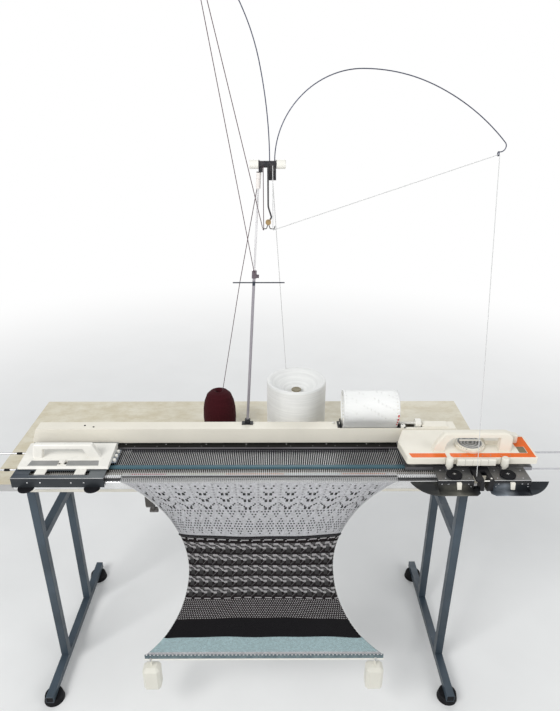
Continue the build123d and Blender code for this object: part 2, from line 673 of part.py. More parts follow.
def main_carriage():
    save("k_body", k_body())
    save("k_handle", k_handle())
    save("k_cam_plate", k_cam_plate())
    save("k_tension_dial", k_tension_dial())
    save("k_change_knob", k_change_knob())
    for count in range(BUTTON_COUNT):
        save(f"k_button_{count + 1}", k_button(count))
    save("k_thumb_screws", Compound([k_thumb_screw(x) for x in THUMB_X]))


def wing(tip, end, plate_edge):
    """One wing: flat under the plate, tilted up to the rear in the lobe beyond the plate's edge."""
    way = 1 if end > tip else -1
    rear = Line((end, WING_REAR_Y), (tip, WING_REAR_Y))
    nose = TangentArc((tip + way * 62, WING_FRONT_Y), (tip, WING_REAR_Y), tangent=(-way, 0))
    front = Line((tip + way * 62, WING_FRONT_Y), (end - way * 9, WING_FRONT_Y))
    corner = Line((end - way * 9, WING_FRONT_Y), (end, WING_FRONT_Y + 8))
    inner = Line((end, WING_FRONT_Y + 8), (end, WING_REAR_Y))
    face = make_face([rear, nose, front, corner, inner])
    flat = along_z(face, WING_TOP - WING_THICK, WING_TOP)
    flat &= block(*sorted((plate_edge, end)), WING_FRONT_Y - 1, WING_REAR_Y + 1,
                  WING_TOP - WING_THICK - 1, WING_TOP + 1)
    wall_face = plate_edge + way * SINKER_THICK
    slope = outline((WING_FRONT_Y - 1, WING_TOP), (WING_REAR_Y + 1, WING_TOP + WING_RISE),
                    (WING_REAR_Y + 1, WING_TOP + WING_RISE - WING_THICK),
                    (WING_FRONT_Y - 1, WING_TOP - WING_THICK))
    lobe = along_z(face, WING_TOP - WING_THICK - 1, WING_TOP + WING_RISE + 1)
    lobe &= along_x(slope, *sorted((tip - way, wall_face)))
    wall = block(*sorted((plate_edge, wall_face)), SINKER_FRONT_Y, WING_REAR_Y - 6,
                 WING_TOP - WING_THICK / 2, SINKER_TOP)
    return flat + lobe + wall


def sinker_frame():
    """Two steel plates with turned-down fronts and wings, joined behind the feeder."""
    bottom = SINKER_TOP - SINKER_THICK
    frame = block(SINKER_X[0][1] - 10, SINKER_X[1][0] + 10, THUMB_Y - 4, SINKER_REAR_Y, bottom, SINKER_TOP)
    for x0, x1 in SINKER_X:
        frame += block(x0, x1, SINKER_FRONT_Y, SINKER_REAR_Y, bottom, SINKER_TOP)
        frame += block(x0, x1, SINKER_FRONT_Y, SINKER_FRONT_Y + SINKER_THICK, WING_TOP, SINKER_TOP)
    for x in THUMB_X:
        frame -= post(x, THUMB_Y, bottom - 1, SINKER_TOP + 1, 3.05)
    for x in DISC_X:
        frame -= post(x, DISC_Y, bottom - 1, SINKER_TOP + 1, 4.05)
    for x in LEVER_X:
        frame -= Pos(x, SINKER_FRONT_Y, 65) * Rot(90, 0, 0) * Cylinder(2.05, 10)
    for tip, end, plate_edge in zip(WING_TIPS, WING_ENDS, (SINKER_X[0][0], SINKER_X[1][1])):
        frame += wing(tip, end, plate_edge)
    return frame


def yarn_feeder():
    """The black feeder block: an upper arm over the plates and a nose with the yarn hole."""
    arm = block(FEEDER_X0, FEEDER_X1, -92, SINKER_REAR_Y, SINKER_TOP, SINKER_TOP + FEEDER_THICK)
    nose = block(YARN_HOLE_X + 6, FEEDER_X1, -92, WING_REAR_Y + 0.5, WING_TOP + 1, SINKER_TOP)
    feeder = arm + nose
    notch = outline((536, 90), (551, 90), (546, WING_TOP - 1), (541, WING_TOP - 1))
    feeder -= along_y(notch, -95, -58)
    return feeder - post(YARN_HOLE_X, YARN_HOLE_Y, SINKER_TOP - 1, SINKER_TOP + 6, YARN_HOLE_RADIUS)


def brush_disc(x):
    """A round brush under the plate, with its stem and the black cap on top."""
    cap = post(x, DISC_Y, SINKER_TOP + RUN_CLEARANCE, SINKER_TOP + 4, DISC_RADIUS)
    stem = post(x, DISC_Y, 69, SINKER_TOP + RUN_CLEARANCE, 4)
    return cap + stem + post(x, DISC_Y, BED_TOP + PEG_HEIGHT + 0.6, 69.4, BRUSH_RADIUS)


def weaving_lever(x):
    """A white tab on the front face that swings on its pin."""
    front = SINKER_FRONT_Y - RUN_CLEARANCE
    tab = outline((x - 5.5, 66), (x - 4.5, 68), (x + 4.5, 68), (x + 5.5, 66), (x + 6.5, 49), (x - 2.5, 49))
    lever = along_y(tab, front - 3.5, front)
    return lever + Pos(x, SINKER_FRONT_Y + 1, 65) * Rot(90, 0, 0) * Cylinder(2, 4)


def sinker_plate():
    save("sinker_frame", sinker_frame())
    save("yarn_feeder", yarn_feeder())
    for name, x in zip(("left", "right"), DISC_X):
        save(f"brush_disc_{name}", brush_disc(x))
    for name, x in zip(("left", "right"), LEVER_X):
        save(f"weaving_lever_{name}", weaving_lever(x))


def l_plate():
    """The lace carriage's steel plate: slotted, turned down in front, with two runners."""
    bottom = L_PLATE_TOP - 2
    plate = block(L_X0 - 5, L_X1 - 3, L_PLATE_FRONT_Y, 76, bottom, L_PLATE_TOP)
    plate += block(L_X0 - 5, L_X1 - 3, L_PLATE_FRONT_Y, L_PLATE_FRONT_Y + 2, L_FLANGE_BOTTOM, L_PLATE_TOP)
    plate += block(L_X0, L_X1 - 3, RAIL_FRONT_Y, RAIL_FRONT_Y + RAIL_WIDTH, RAIL_TOP + RUN_CLEARANCE, bottom)
    plate += block(L_X0, L_X1 - 3, RAIL_FRONT_Y + RAIL_WIDTH + RUN_CLEARANCE, 76, RAIL_TOP - 2.5, bottom)
    plate += block(L_X0, L_X1 - 3, K_FRONT_Y + 6, RETAINER_FRONT_Y - 3.5, BED_TOP + RUN_CLEARANCE, bottom)
    return plate - block(-489, -353, -60, -43, bottom - 1, L_PLATE_TOP + 1)


def l_body():
    """The lace carriage's white body with its handle and two guide blocks."""
    profile = outline((L_FRONT_Y, L_PLATE_TOP), (L_FRONT_Y - 3, L_PLATE_TOP + 3),
                      (L_FRONT_Y, L_BODY_FRONT_TOP), (L_BACK_Y - 8, L_BODY_BACK_TOP),
                      (L_BACK_Y, L_BODY_BACK_TOP - 5), (L_BACK_Y, L_PLATE_TOP))
    body = along_x(profile, L_X0, L_X1)
    body = fillet(body.edges().filter_by(Axis.Z), 3)
    hollow = block(L_X0 + 4, L_X1 - 4, L_FRONT_Y + 4, L_BACK_Y - 4, L_PLATE_TOP - 1, L_BODY_FRONT_TOP - 3)
    body -= hollow
    outer = outline((-498, 78), (-492, 117), (-354, 117), (-336, 78))
    outer = fillet(outer.vertices().group_by(Axis.Y)[-1], 7)
    inner = outline((-476, 79), (-471, 106), (-377, 106), (-364, 79))
    arch = along_y(outer - inner, -8, 6)
    arch = fillet(arch.edges().filter_by(Axis.X).group_by(Axis.Z)[-1], 4)
    body += arch
    for x in (-464.5, -373.5):
        body += block(x - 12, x + 12, -59, L_FRONT_Y + 1, L_PLATE_TOP, L_PLATE_TOP + 2.5)
    body -= block(-431, -411, -30, -20, L_BODY_FRONT_TOP - 6, L_BODY_BACK_TOP)
    return body


def l_selector():
    """The small white slider in the grey strip."""
    stem = block(-425, -417, -29.6, -20.4, 77, 82)
    return stem + block(-427, -415, -31, -19, 82, 85)


def presser_pad(x):
    """A half-moon rubber pad under the turned-down front."""
    disc = post(x, L_PLATE_FRONT_Y, L_FLANGE_BOTTOM - 3, L_FLANGE_BOTTOM, 18)
    return disc - block(x - 20, x + 20, L_PLATE_FRONT_Y + 2, 0, L_FLANGE_BOTTOM - 4, L_FLANGE_BOTTOM + 1)


def lace_carriage():
    save("l_plate", l_plate())
    save("l_body", l_body())
    save("l_selector", l_selector())
    save("l_presser_pads", Compound([presser_pad(x) for x in (-494, -344)]))


def mast_frame():
    """The mast's own frame: its foot on the cover, leaning a little to the right."""
    return Pos(1.5, MAST_Y, MAST_FOOT_Z) * Rot(0, MAST_LEAN, 0)


def mast_x(z):
    return 1.5 + (z - MAST_FOOT_Z) * math.tan(math.radians(MAST_LEAN))


def mast():
    """The mast in its bracket: two telescoped rods, the joint's clamp and the guide bar."""
    base = block(-12, 16, MAST_Y - 9, MAST_Y + 5, COVER_TOP, COVER_TOP + 3)
    base += mast_frame() * Pos(0, 0, COVER_TOP + 6 - MAST_FOOT_Z) * Cylinder(7, 12)
    base -= mast_frame() * Cylinder(LOWER_ROD_RADIUS + 0.05, 80)
    base -= block(-20, 24, MAST_Y - 12, MAST_Y + 12, COVER_TOP - 12, COVER_TOP)
    save("mast_bracket", base)
    lower = mast_frame() * Pos(0, 0, MAST_LOWER_TOP / 2) * Cylinder(LOWER_ROD_RADIUS, MAST_LOWER_TOP)
    clamp_z = MAST_LOWER_TOP - 5
    lower += mast_frame() * Pos(0, 0, clamp_z) * Cylinder(5.5, 18)
    lower += mast_frame() * Pos(7, 0, clamp_z - 4) * Rot(0, 90, 0) * Cylinder(4, 8)
    socket = MAST_LOWER_TOP - MAST_UPPER_FOOT + 10
    socket_middle = MAST_LOWER_TOP + 10 - socket / 2
    socket_radius = UPPER_ROD_RADIUS + SPINDLE_CLEARANCE
    lower -= mast_frame() * Pos(0, 0, socket_middle) * Cylinder(socket_radius, socket)
    bar_y = MAST_Y + LOWER_ROD_RADIUS + GUIDE_BAR_RADIUS - 0.4
    middle = mast_x(GUIDE_BAR_Z)
    lower += axle(middle - 48, middle + 70, bar_y, GUIDE_BAR_Z, GUIDE_BAR_RADIUS)
    length = MAST_UPPER_TOP - MAST_UPPER_FOOT
    upper = mast_frame() * Pos(0, 0, MAST_UPPER_FOOT + length / 2) * Cylinder(UPPER_ROD_RADIUS, length)
    save("mast_rods", Compound([lower, upper]))


def tension_unit():
    """The unit on top of the mast: sleeve, cross tube, discs, clip and yarn hooks."""
    sleeve_middle = MAST_UPPER_TOP - 14
    sleeve = mast_frame() * Pos(0, 0, sleeve_middle) * Cylinder(5, 34)
    sleeve -= mast_frame() * Pos(0, 0, sleeve_middle - 1.5) * Cylinder(UPPER_ROD_RADIUS + 0.05, 34)
    sleeve_x = mast_x(MAST_FOOT_Z + MAST_UPPER_TOP)
    arm_foot = MAST_FOOT_Z + MAST_UPPER_TOP + 1
    arm = block(sleeve_x - 0.5, sleeve_x + 8, MAST_Y - 4, MAST_Y + 4, arm_foot, UNIT_Z)
    body = axle(UNIT_X0, UNIT_X1, MAST_Y, UNIT_Z, UNIT_RADIUS)
    for x in (UNIT_X0, UNIT_X1 - 2):
        body += axle(x, x + 2, MAST_Y, UNIT_Z, 9)
    reach = TENSION_KNOB_LENGTH - 3
    body += axle(UNIT_X0 - reach, UNIT_X1 + reach, MAST_Y, UNIT_Z, DIAL_PIN_RADIUS)
    for x in WIRE_ROOTS:
        body -= post(x, MAST_Y, WIRE_ROOT_Z, UNIT_Z + UNIT_RADIUS + 1, WIRE_RADIUS + SPINDLE_CLEARANCE)
    clip = block(59.5, 75, MAST_Y - 5, MAST_Y + 3, 694, UNIT_Z - 5)
    clip -= block(62, 72.5, MAST_Y - 6, MAST_Y - 1, 698, 713)
    return sleeve + arm + body + clip + hook_stem()


def hook_stem():
    """The bent wire below the unit, with a round boss and the two open yarn hooks."""
    top = UNIT_Z - 2
    foot = HOOK_Z + 12
    points = [(HOOK_X, HOOK_Y, top), (HOOK_X, HOOK_Y, 640), (HOOK_X + 7, HOOK_Y, 618),
              (HOOK_X, HOOK_Y, foot)]
    stem = swept(points, [30, 5], 1.8)
    stem += block(HOOK_X - 2, HOOK_X + 2, HOOK_Y - 1, MAST_Y - 4, UNIT_Z - 3, UNIT_Z + 2)
    stem += Pos(HOOK_X, HOOK_Y, foot + 2) * Rot(90, 0, 0) * Cylinder(6, 4)
    for side in (-1, 1):
        hook = [(HOOK_X, HOOK_Y, foot), (HOOK_X + side * 4, HOOK_Y, HOOK_Z),
                (HOOK_X + side * HOOK_REACH, HOOK_Y, HOOK_Z),
                (HOOK_X + side * (HOOK_REACH + 1.5), HOOK_Y, HOOK_Z + 6)]
        stem += swept(hook, [3, 2], HOOK_RADIUS)
    return stem


def tension_knob(side):
    inner = UNIT_X1 + RUN_CLEARANCE if side > 0 else UNIT_X0 - RUN_CLEARANCE - TENSION_KNOB_LENGTH
    knob = axle(inner, inner + TENSION_KNOB_LENGTH, MAST_Y, UNIT_Z, TENSION_KNOB_RADIUS)
    rim = knob.edges().group_by(Axis.X)[-1 if side > 0 else 0]
    knob = fillet(rim, 2)
    hole_length = TENSION_KNOB_LENGTH - 2
    near = inner - 0.5 if side > 0 else inner + 2.5
    return knob - axle(near, near + hole_length, MAST_Y, UNIT_Z, DIAL_PIN_RADIUS + SPINDLE_CLEARANCE)


def arc_chain(start, tangent, steps):
    """Arcs that each leave the last one tangentially, as (radius, signed degrees) pairs."""
    edges = []
    for radius, turn in steps:
        arc = JernArc(start=start, tangent=tangent, radius=radius, arc_size=turn)
        edges.append(arc.edge())
        start = arc @ 1
        tangent = arc % 1
    return edges, start


def eyelet(tip):
    """The small ring at a wire's end that the yarn runs through."""
    return Pos(tip.X, MAST_Y, tip.Y - EYE_RADIUS) * Rot(0, 90, 0) * Torus(EYE_RADIUS, WIRE_RADIUS)


def take_up_wires():
    """Two springy wires: one climbs to the left, one arches over to the right."""
    sides = zip(("left", "right"), WIRE_ROOTS, (LEFT_WIRE_ARCS, RIGHT_WIRE_ARCS))
    for name, root, steps in sides:
        edges, tip = arc_chain((root, WIRE_ROOT_Z + 0.5), (0, 1), steps)
        path = Pos(0, MAST_Y, 0) * (Plane.XZ * Wire(edges))
        print(name, "wire tip", round(tip.X, 1), round(tip.Y, 1))
        solid = sweep(Plane(path @ 0, z_dir=path % 0) * Circle(WIRE_RADIUS), path=path)
        save(f"take_up_wire_{name}", solid + eyelet(tip))


def yarn_packages():
    """A wide hollow-topped package of white yarn and a domed cake of dark yarn."""
    r = WHITE_RADIUS
    h = WHITE_HEIGHT
    profile = outline((0, 0), (r - 4, 0), (r, 14), (r, h - 3), (r - 3, h), (r - 10, h - 2), (13, h - 44),
                      (13, h - 30), (10, h - 30), (10, h - 60), (0, h - 60))
    white = Pos(WHITE_X, WHITE_Y, 0) * revolve(Plane.XZ * profile, Axis.Z)
    save("white_yarn_package", white)
    r = DARK_RADIUS
    h = DARK_HEIGHT
    profile = outline((0, 0), (r - 6, 0), (r, h * 0.4), (r - 5, h * 0.76), (r * 0.7, h * 0.93),
                      (14, h), (0, h))
    dark = Pos(DARK_X, DARK_Y, 0) * revolve(Plane.XZ * profile, Axis.Z)
    save("dark_yarn_cake", dark)


def fabric_y():
    return BED_FRONT_Y - FRONT_RAIL_DEPTH - FABRIC_GAP


def fabric_outline():
    """The knitting's outline in (x, z): wide on the needles, waisted, wide at the comb."""
    top_left = (WORKING_LEFT_X, FABRIC_TOP)
    waist_left = (WAIST_LEFT_X, WAIST_Z)
    hem_left = (HEM_LEFT_X, HEM_Z)
    top_right = (WORKING_RIGHT_X, FABRIC_TOP)
    waist_right = (WAIST_RIGHT_X, WAIST_Z)
    hem_right = (HEM_RIGHT_X, HEM_Z)
    edges = [Line(top_right, top_left),
             ThreePointArc(top_left, (-168, -66), waist_left),
             ThreePointArc(waist_left, (-176, -356), hem_left),
             Line(hem_left, hem_right),
             ThreePointArc(hem_right, (251, -356), waist_right),
             ThreePointArc(waist_right, (239, -66), top_right)]
    return make_face(edges)


def knitting():
    back = fabric_y()
    save("knitted_fabric", along_y(fabric_outline(), back - FABRIC_THICK, back))
    front = back - FABRIC_THICK / 2
    y0 = front - COMB_THICK / 2
    comb_top = HEM_Z - FABRIC_GAP
    bar = block(COMB_LEFT_X, COMB_RIGHT_X, y0, y0 + COMB_THICK, comb_top - COMB_HEIGHT, comb_top)
    pitch = (COMB_RIGHT_X - COMB_LEFT_X) / COMB_TEETH
    gap_starts = [COMB_LEFT_X + pitch * (count + 0.3) for count in range(COMB_TEETH)]
    bar -= [block(x, x + 0.4 * pitch, y0 - 1, y0 + COMB_THICK + 1, comb_top - 5, HEM_Z + 1)
            for x in gap_starts]
    rod_z = comb_top - COMB_HEIGHT - 2.4
    bar -= [axle(x - 3, x + 3, front, rod_z, 6.5) for x in WEIGHT_X]
    bar += axle(COMB_LEFT_X - 2, COMB_RIGHT_X + 2, front, rod_z, 2.5)
    save("cast_on_comb", bar)
    for name, x in zip(("left", "right"), WEIGHT_X):
        save(f"claw_weight_{name}", claw_weight(x, front, rod_z))


def claw_weight(x, y, rod_z):
    """A faceted weight hung on the comb rod by a steel loop."""
    top = rod_z - 22
    half = WEIGHT_WIDTH / 2
    body = block(x - half, x + half, y - 19, y + 19, top - WEIGHT_HEIGHT, top)
    body = chamfer(body.edges().filter_by(Axis.Z), 7)
    body = chamfer(body.faces().sort_by(Axis.Z)[-1].edges(), 9)
    ring = Pos(x, y, rod_z) * Rot(0, 90, 0) * (Cylinder(5.5, 4) - Cylinder(2.8, 6))
    return body + ring + block(x - 2, x + 2, y - 2, y + 2, top - 1, rod_z - 4)


def clamps():
    frames = []
    for name, x in zip(("left", "right"), CLAMP_X):
        frames.append(clamp_frame(x))
        save(f"clamp_pad_{name}", clamp_pad(x))
        save(f"clamp_screw_{name}", clamp_screw(x))
    save("clamp_frames", Compound(frames))


def clamp_frame(x):
    """A cast hook: over the table in front, with a threaded lug below it."""
    half = CLAMP_WIDTH / 2
    lug_end = CLAMP_SCREW_Y + 11
    lug_top = CLAMP_ARM_Z + 16
    profile = outline((CASE_FRONT_Y + 14.5, 0), (-2, 0), (-2, lug_top), (lug_end, lug_top),
                      (lug_end, CLAMP_ARM_Z), (-10, CLAMP_ARM_Z), (-16, CLAMP_ARM_Z + 8), (-16, -8))
    frame = along_x(profile, x - half, x + half)
    bore = CLAMP_SCREW_RADIUS + SPINDLE_CLEARANCE
    return frame - post(x, CLAMP_SCREW_Y, CLAMP_ARM_Z - 1, lug_top + 1, bore)


def clamp_pad(x):
    """The swivel pad under the table, with the pin that the screw turns on."""
    pad = post(x, CLAMP_SCREW_Y, -TABLE_THICK - 4, -TABLE_THICK, CLAMP_PAD_RADIUS)
    return pad + post(x, CLAMP_SCREW_Y, -TABLE_THICK - 12, -TABLE_THICK - 4, 2)


def clamp_screw(x):
    """The clamp screw with its wing at the bottom."""
    top = -TABLE_THICK - 4 - RUN_CLEARANCE
    screw = post(x, CLAMP_SCREW_Y, -98, top, CLAMP_SCREW_RADIUS)
    screw -= post(x, CLAMP_SCREW_Y, -TABLE_THICK - 13, top + 1, 2.05)
    wing_face = fillet(outline((x - 12, -104), (x + 12, -104), (x + 9, -90), (x - 9, -90)).vertices(), 3)
    return screw + along_y(wing_face, CLAMP_SCREW_Y - 2.5, CLAMP_SCREW_Y + 2.5)


def yarn(name, points, radii):
    """A tight yarn: straight runs, with an arc as small as what it bends round."""
    print(name, "radii", radii)
    return swept(points, radii, YARN_RADIUS)


def wire_tip(root, steps):
    return arc_chain((root, WIRE_ROOT_Z + 0.5), (0, 1), steps)[1]


def round_hook(side):
    """Three points that take a yarn down in front of a hook, under it and up behind."""
    x = HOOK_X + side * (HOOK_REACH - 3)
    front = HOOK_Y - HOOK_RADIUS - YARN_RADIUS - YARN_REST_GAP
    top = (x, MAST_Y - UNIT_RADIUS - YARN_RADIUS - YARN_REST_GAP, UNIT_Z - 2)
    return [top, (x, front - 0.4, HOOK_Z - 2.5), (x + side * 1.5, HOOK_Y + 2.6, HOOK_Z - 3.0)]


def white_yarns():
    """White yarn: from the package to the unit, then hook, eyelet, feeder and last needle."""
    angle = math.radians(112)
    rim = (WHITE_X + (WHITE_RADIUS - 7) * math.cos(angle), WHITE_Y + (WHITE_RADIUS - 7) * math.sin(angle),
           WHITE_HEIGHT - 1)
    supply = rod(rim, (67, MAST_Y + 4.2, 703), YARN_RADIUS)
    tip = wire_tip(WIRE_ROOTS[1], RIGHT_WIRE_ARCS)
    eye_z = tip.Y - 2 * EYE_RADIUS + WIRE_RADIUS + YARN_RADIUS + YARN_REST_GAP
    joint = (tip.X - 2.0, MAST_Y - 0.3, eye_z - 0.5)
    run = yarn("white run", round_hook(1) + [joint], [2.2, 2.2])
    save("white_yarn", Compound([supply, run]))
    before = round_hook(1)[-1]
    way = (Vector(*joint) - Vector(*before)).normalized()
    start = Vector(*joint)
    over = start + way * 2.2
    beyond = (tip.X + 2.6, MAST_Y - 1.6, eye_z + 0.3)
    feeder = (YARN_HOLE_X, YARN_HOLE_Y - 2.4, SINKER_TOP - 6.0)
    fabric_front = fabric_y() - FABRIC_THICK
    last = (WORKING_RIGHT_X + 1.5, fabric_front - YARN_RADIUS - YARN_REST_GAP, FABRIC_TOP + 1.2)
    points = [tuple(start), tuple(over), beyond, feeder, last]
    save("feed_yarn", yarn("feed", points, [2.0, 2.0, 2.5]))


def dark_yarns():
    """Dark yarn: from the cake over the guide bar to the unit, hook, eyelet and back to the mast."""
    y = MAST_Y + UNIT_RADIUS + YARN_RADIUS + YARN_REST_GAP
    bar_y = MAST_Y + LOWER_ROD_RADIUS + 2 * GUIDE_BAR_RADIUS + YARN_RADIUS + YARN_REST_GAP
    crown = (DARK_X + 11, DARK_Y, DARK_HEIGHT + 0.3)
    supply = yarn("dark supply", [crown, (-8, bar_y, GUIDE_BAR_Z), (44, y, UNIT_Z - 1)], [3])
    tip = wire_tip(WIRE_ROOTS[0], LEFT_WIRE_ARCS)
    eye_z = tip.Y - 2 * EYE_RADIUS + WIRE_RADIUS + YARN_RADIUS + YARN_REST_GAP
    clamp_z = MAST_FOOT_Z + MAST_LOWER_TOP
    mast_side = (mast_x(clamp_z), MAST_Y - 5.5 - YARN_RADIUS - YARN_REST_GAP, clamp_z)
    eye = [(tip.X + 2.5, MAST_Y - 0.2, eye_z + 0.6), (tip.X - 2.5, MAST_Y - 0.2, eye_z + 0.6)]
    run = yarn("dark run", round_hook(-1) + eye + [mast_side], [2.2, 2.0, 2.0, 2.0])
    save("dark_yarn", Compound([supply, run]))


def main():
    os.makedirs("parts", exist_ok=True)
    stand()
    save("machine_base", machine_base())
    save("needle_bed", needle_bed())
    needles()
    save("rear_rail", rear_rail())
    save("needle_retainer_bar", needle_retainer())
    save("front_rail", front_rail())
    save("rear_cover", rear_cover())
    save("extension_rails", Compound([extension_rail(side) for side in (-1, 1)]))
    card_reader()
    main_carriage()
    sinker_plate()
    lace_carriage()
    mast()
    save("tension_unit", tension_unit())
    for name, side in (("left", -1), ("right", 1)):
        save(f"tension_knob_{name}", tension_knob(side))
    take_up_wires()
    yarn_packages()
    white_yarns()
    dark_yarns()
    knitting()
    clamps()


main()
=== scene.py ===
import math
from functools import partialmethod

import bpy
import numpy as np
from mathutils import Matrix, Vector


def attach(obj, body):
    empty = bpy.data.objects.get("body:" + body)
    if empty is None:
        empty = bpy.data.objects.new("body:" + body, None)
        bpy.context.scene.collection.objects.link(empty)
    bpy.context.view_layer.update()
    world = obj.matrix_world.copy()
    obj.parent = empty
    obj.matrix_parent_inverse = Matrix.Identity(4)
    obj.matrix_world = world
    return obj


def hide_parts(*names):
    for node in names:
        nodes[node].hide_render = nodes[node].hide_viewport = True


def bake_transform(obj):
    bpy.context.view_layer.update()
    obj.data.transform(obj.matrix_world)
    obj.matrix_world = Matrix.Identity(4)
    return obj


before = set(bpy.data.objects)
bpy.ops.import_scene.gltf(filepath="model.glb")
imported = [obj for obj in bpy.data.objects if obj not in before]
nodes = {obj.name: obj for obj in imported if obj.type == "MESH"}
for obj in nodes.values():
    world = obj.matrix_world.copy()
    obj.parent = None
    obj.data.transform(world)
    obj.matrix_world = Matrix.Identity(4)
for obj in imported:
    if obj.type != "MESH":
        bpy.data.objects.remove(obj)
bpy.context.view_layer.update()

# Places below are in millimetres from the middle of the table top's front edge:
# +X to the knitter's right, +Y away from the knitter, +Z up.
ORIGIN_Y = 188.5
TABLE_HEIGHT = 748.0

# Camera, solved from the table top's corners in a 560 x 711 picture.
IMAGE_WIDTH = 560
IMAGE_HEIGHT = 711
FOCAL_PIXELS = 583.05
PRINCIPAL_X = 277.5
CAMERA_PLACE = (73.11, -1158.17, 861.75)
CAMERA_PITCH = 24.237
CAMERA_YAW = 0.216
SENSOR = 36.0

# Needles and bed
NEEDLE_PITCH = 4.5
NEEDLE_COUNT = 200
WORKING_LEFT_X = -279.0
WORKING_RIGHT_X = 351.0
BED_TOP = 62.0
BED_FRONT_Y = -70.0
BED_REAR_Y = 90.0
MARKS_FRONT_Y = -47.2
MARKS_REAR_Y = -44.6
NEEDLE_TIP_Y = -58.0
IDLE_SETBACK = 9.0
NEEDLE_LENGTH = 104.0
BUTT_TOP = 66.4

# Main carriage
K_TOP = 102.0
DIAL_X = 530.0
DIAL_Y = 9.0
DIAL_FACE_RADIUS = 28.3
SINKER_FRONT_Y = -86.0
DISC_Y = -67.0

# Lace carriage
L_FRONT_Y = -72.0
L_STUD_X = -307.0

# Rods of the extension rails
ROD_REAR_Y = 47.5
ROD_FRONT_Y = -21.0
ROD_Z = 57.0

# Punch card
CARD_X0 = 240.0
CARD_X1 = 376.0
CARD_SNAP_Y = 96.6
CARD_SNAP_Z = 108.0
CARD_DRUM = (110.0, 104.0)
CARD_DRUM_RADIUS = 13.65
CARD_BULGE = (115.0, 148.0)
CARD_BULGE_RADIUS = 41.75
COVER_TOP = 99.95

# Yarn
YARN_RADIUS = 0.8
WHITE_PLACE = (129, 238, 0)
DARK_PLACE = (-80, 238, 0)

# Comb, weights and stand
COMB_ROD_Y = -67.4
COMB_ROD_Z = -520.7
LEG_X = 572

# In metres: the levels above the table's top where a finish changes, the screws' pitch and the floor's half width
SINKER_PLATE_LEVEL = 0.0716
LACE_PLATE_LEVEL = 0.0696
COMB_TEETH_FOOT = -0.517
SCREW_PITCH = 0.00125
FLOOR_REACH = 14.0

# Knitting in progress
FABRIC_FRONT_Y = -67.0
FABRIC_THICK = 1.3
FABRIC_TOP = 56.0
WAIST_Z = -215.0
HEM_Z = -504.0
LEFT_EDGE = ((-279.0, FABRIC_TOP), (-168.0, -66.0), (-141.0, WAIST_Z), (-176.0, -356.0), (-272.0, HEM_Z))
RIGHT_EDGE = ((351.0, FABRIC_TOP), (239.0, -66.0), (215.0, WAIST_Z), (251.0, -356.0), (356.0, HEM_Z))
STITCHES = 140
ROWS = 168
LACE_ROWS = 44
LINE_ROWS = 48
FAIR_ISLE_ROWS = 108
BIRDSEYE_ROWS = 130
DARK_ROWS = 149
HEM_ROWS = 165
FAN_STITCHES = 12
FAN_FIRST = 3.0
LEAF_STITCHES = 7
LEAF_FIRST = 3.5
FEATHER_STITCHES = 9
FEATHER_ROWS = 11
# Eyelets: the share of each cell left open, and the fraction of the stitch's tone used as painted shade on the funnel
# round the opening.
EYELET_SHARE = 0.2
EYELET_PAINTED_SHADE = 0.05

RNG = np.random.default_rng(7)


def at(x, y, z):
    """A point in table millimetres as metres in the part's frame."""
    return Vector((x / 1000, (y - ORIGIN_Y) / 1000, (z + TABLE_HEIGHT) / 1000))


def metres(points):
    return (np.asarray(points, float) - (0, ORIGIN_Y, -TABLE_HEIGHT)) / 1000


# Shapes


def joined(shapes):
    """Several (points, faces) shapes as one."""
    points, faces, offset = [], [], 0
    for some_points, some_faces in shapes:
        points.append(np.asarray(some_points, float))
        faces += [tuple(index + offset for index in face) for face in some_faces]
        offset += len(some_points)
    return np.vstack(points), faces


def slab(x0, x1, y0, y1, z0, z1):
    points = [(x, y, z) for z in (z0, z1) for y in (y0, y1) for x in (x0, x1)]
    faces = [(0, 2, 3, 1), (4, 5, 7, 6), (0, 1, 5, 4), (1, 3, 7, 5), (3, 2, 6, 7), (2, 0, 4, 6)]
    return np.array(points, float), faces


def ring_faces(rings, sides):
    """Quads between rings of points that follow each other, with both ends closed."""
    faces = []
    for ring in range(rings - 1):
        for side in range(sides):
            after = (side + 1) % sides
            a = ring * sides
            b = a + sides
            faces.append((a + side, a + after, b + after, b + side))
    faces.append(tuple(range(sides - 1, -1, -1)))
    last = (rings - 1) * sides
    faces.append(tuple(range(last, last + sides)))
    return faces


def turned(profile, centre, sides=32, axis="z"):
    """A turned form: (radius, height) pairs from its foot to its top, about the axis through centre."""
    angles = np.arange(sides) * 2 * np.pi / sides
    points = []
    for radius, height in profile:
        across = radius * np.cos(angles)
        along = radius * np.sin(angles)
        level = np.full(sides, float(height))
        order = {"z": (across, along, level), "x": (level, across, along), "y": (along, level, across)}[axis]
        points.append(np.stack(order, axis=1))
    return np.vstack(points) + np.array(centre, float), ring_faces(len(profile), sides)


def tube(path, radius, sides=8):
    """A round wire along a line of points; radius is one value or one for each point."""
    path = np.asarray(path, float)
    radii = np.broadcast_to(np.asarray(radius, float), (len(path),))
    tangents = np.gradient(path, axis=0)
    tangents /= np.linalg.norm(tangents, axis=1)[:, None]
    helper = np.array((0.0, 0.0, 1.0)) if abs(tangents[0][2]) < 0.9 else np.array((1.0, 0.0, 0.0))
    normal = np.cross(tangents[0], helper)
    angles = np.arange(sides) * 2 * np.pi / sides
    points = []
    for place, tangent, size in zip(path, tangents, radii):
        normal = normal - tangent * np.dot(normal, tangent)
        normal /= np.linalg.norm(normal)
        other = np.cross(tangent, normal)
        points.append(place + size * (np.outer(np.cos(angles), normal) + np.outer(np.sin(angles), other)))
    return np.vstack(points), ring_faces(len(path), sides)


def prism(outline, low, high):
    """A flat outline in (x, y), counted anticlockwise, between two heights."""
    count = len(outline)
    points = [(x, y, z) for z in (low, high) for x, y in outline]
    faces = [tuple(range(count - 1, -1, -1)), tuple(range(count, 2 * count))]
    for index in range(count):
        after = (index + 1) % count
        faces.append((index, after, count + after, count + index))
    return np.array(points, float), faces


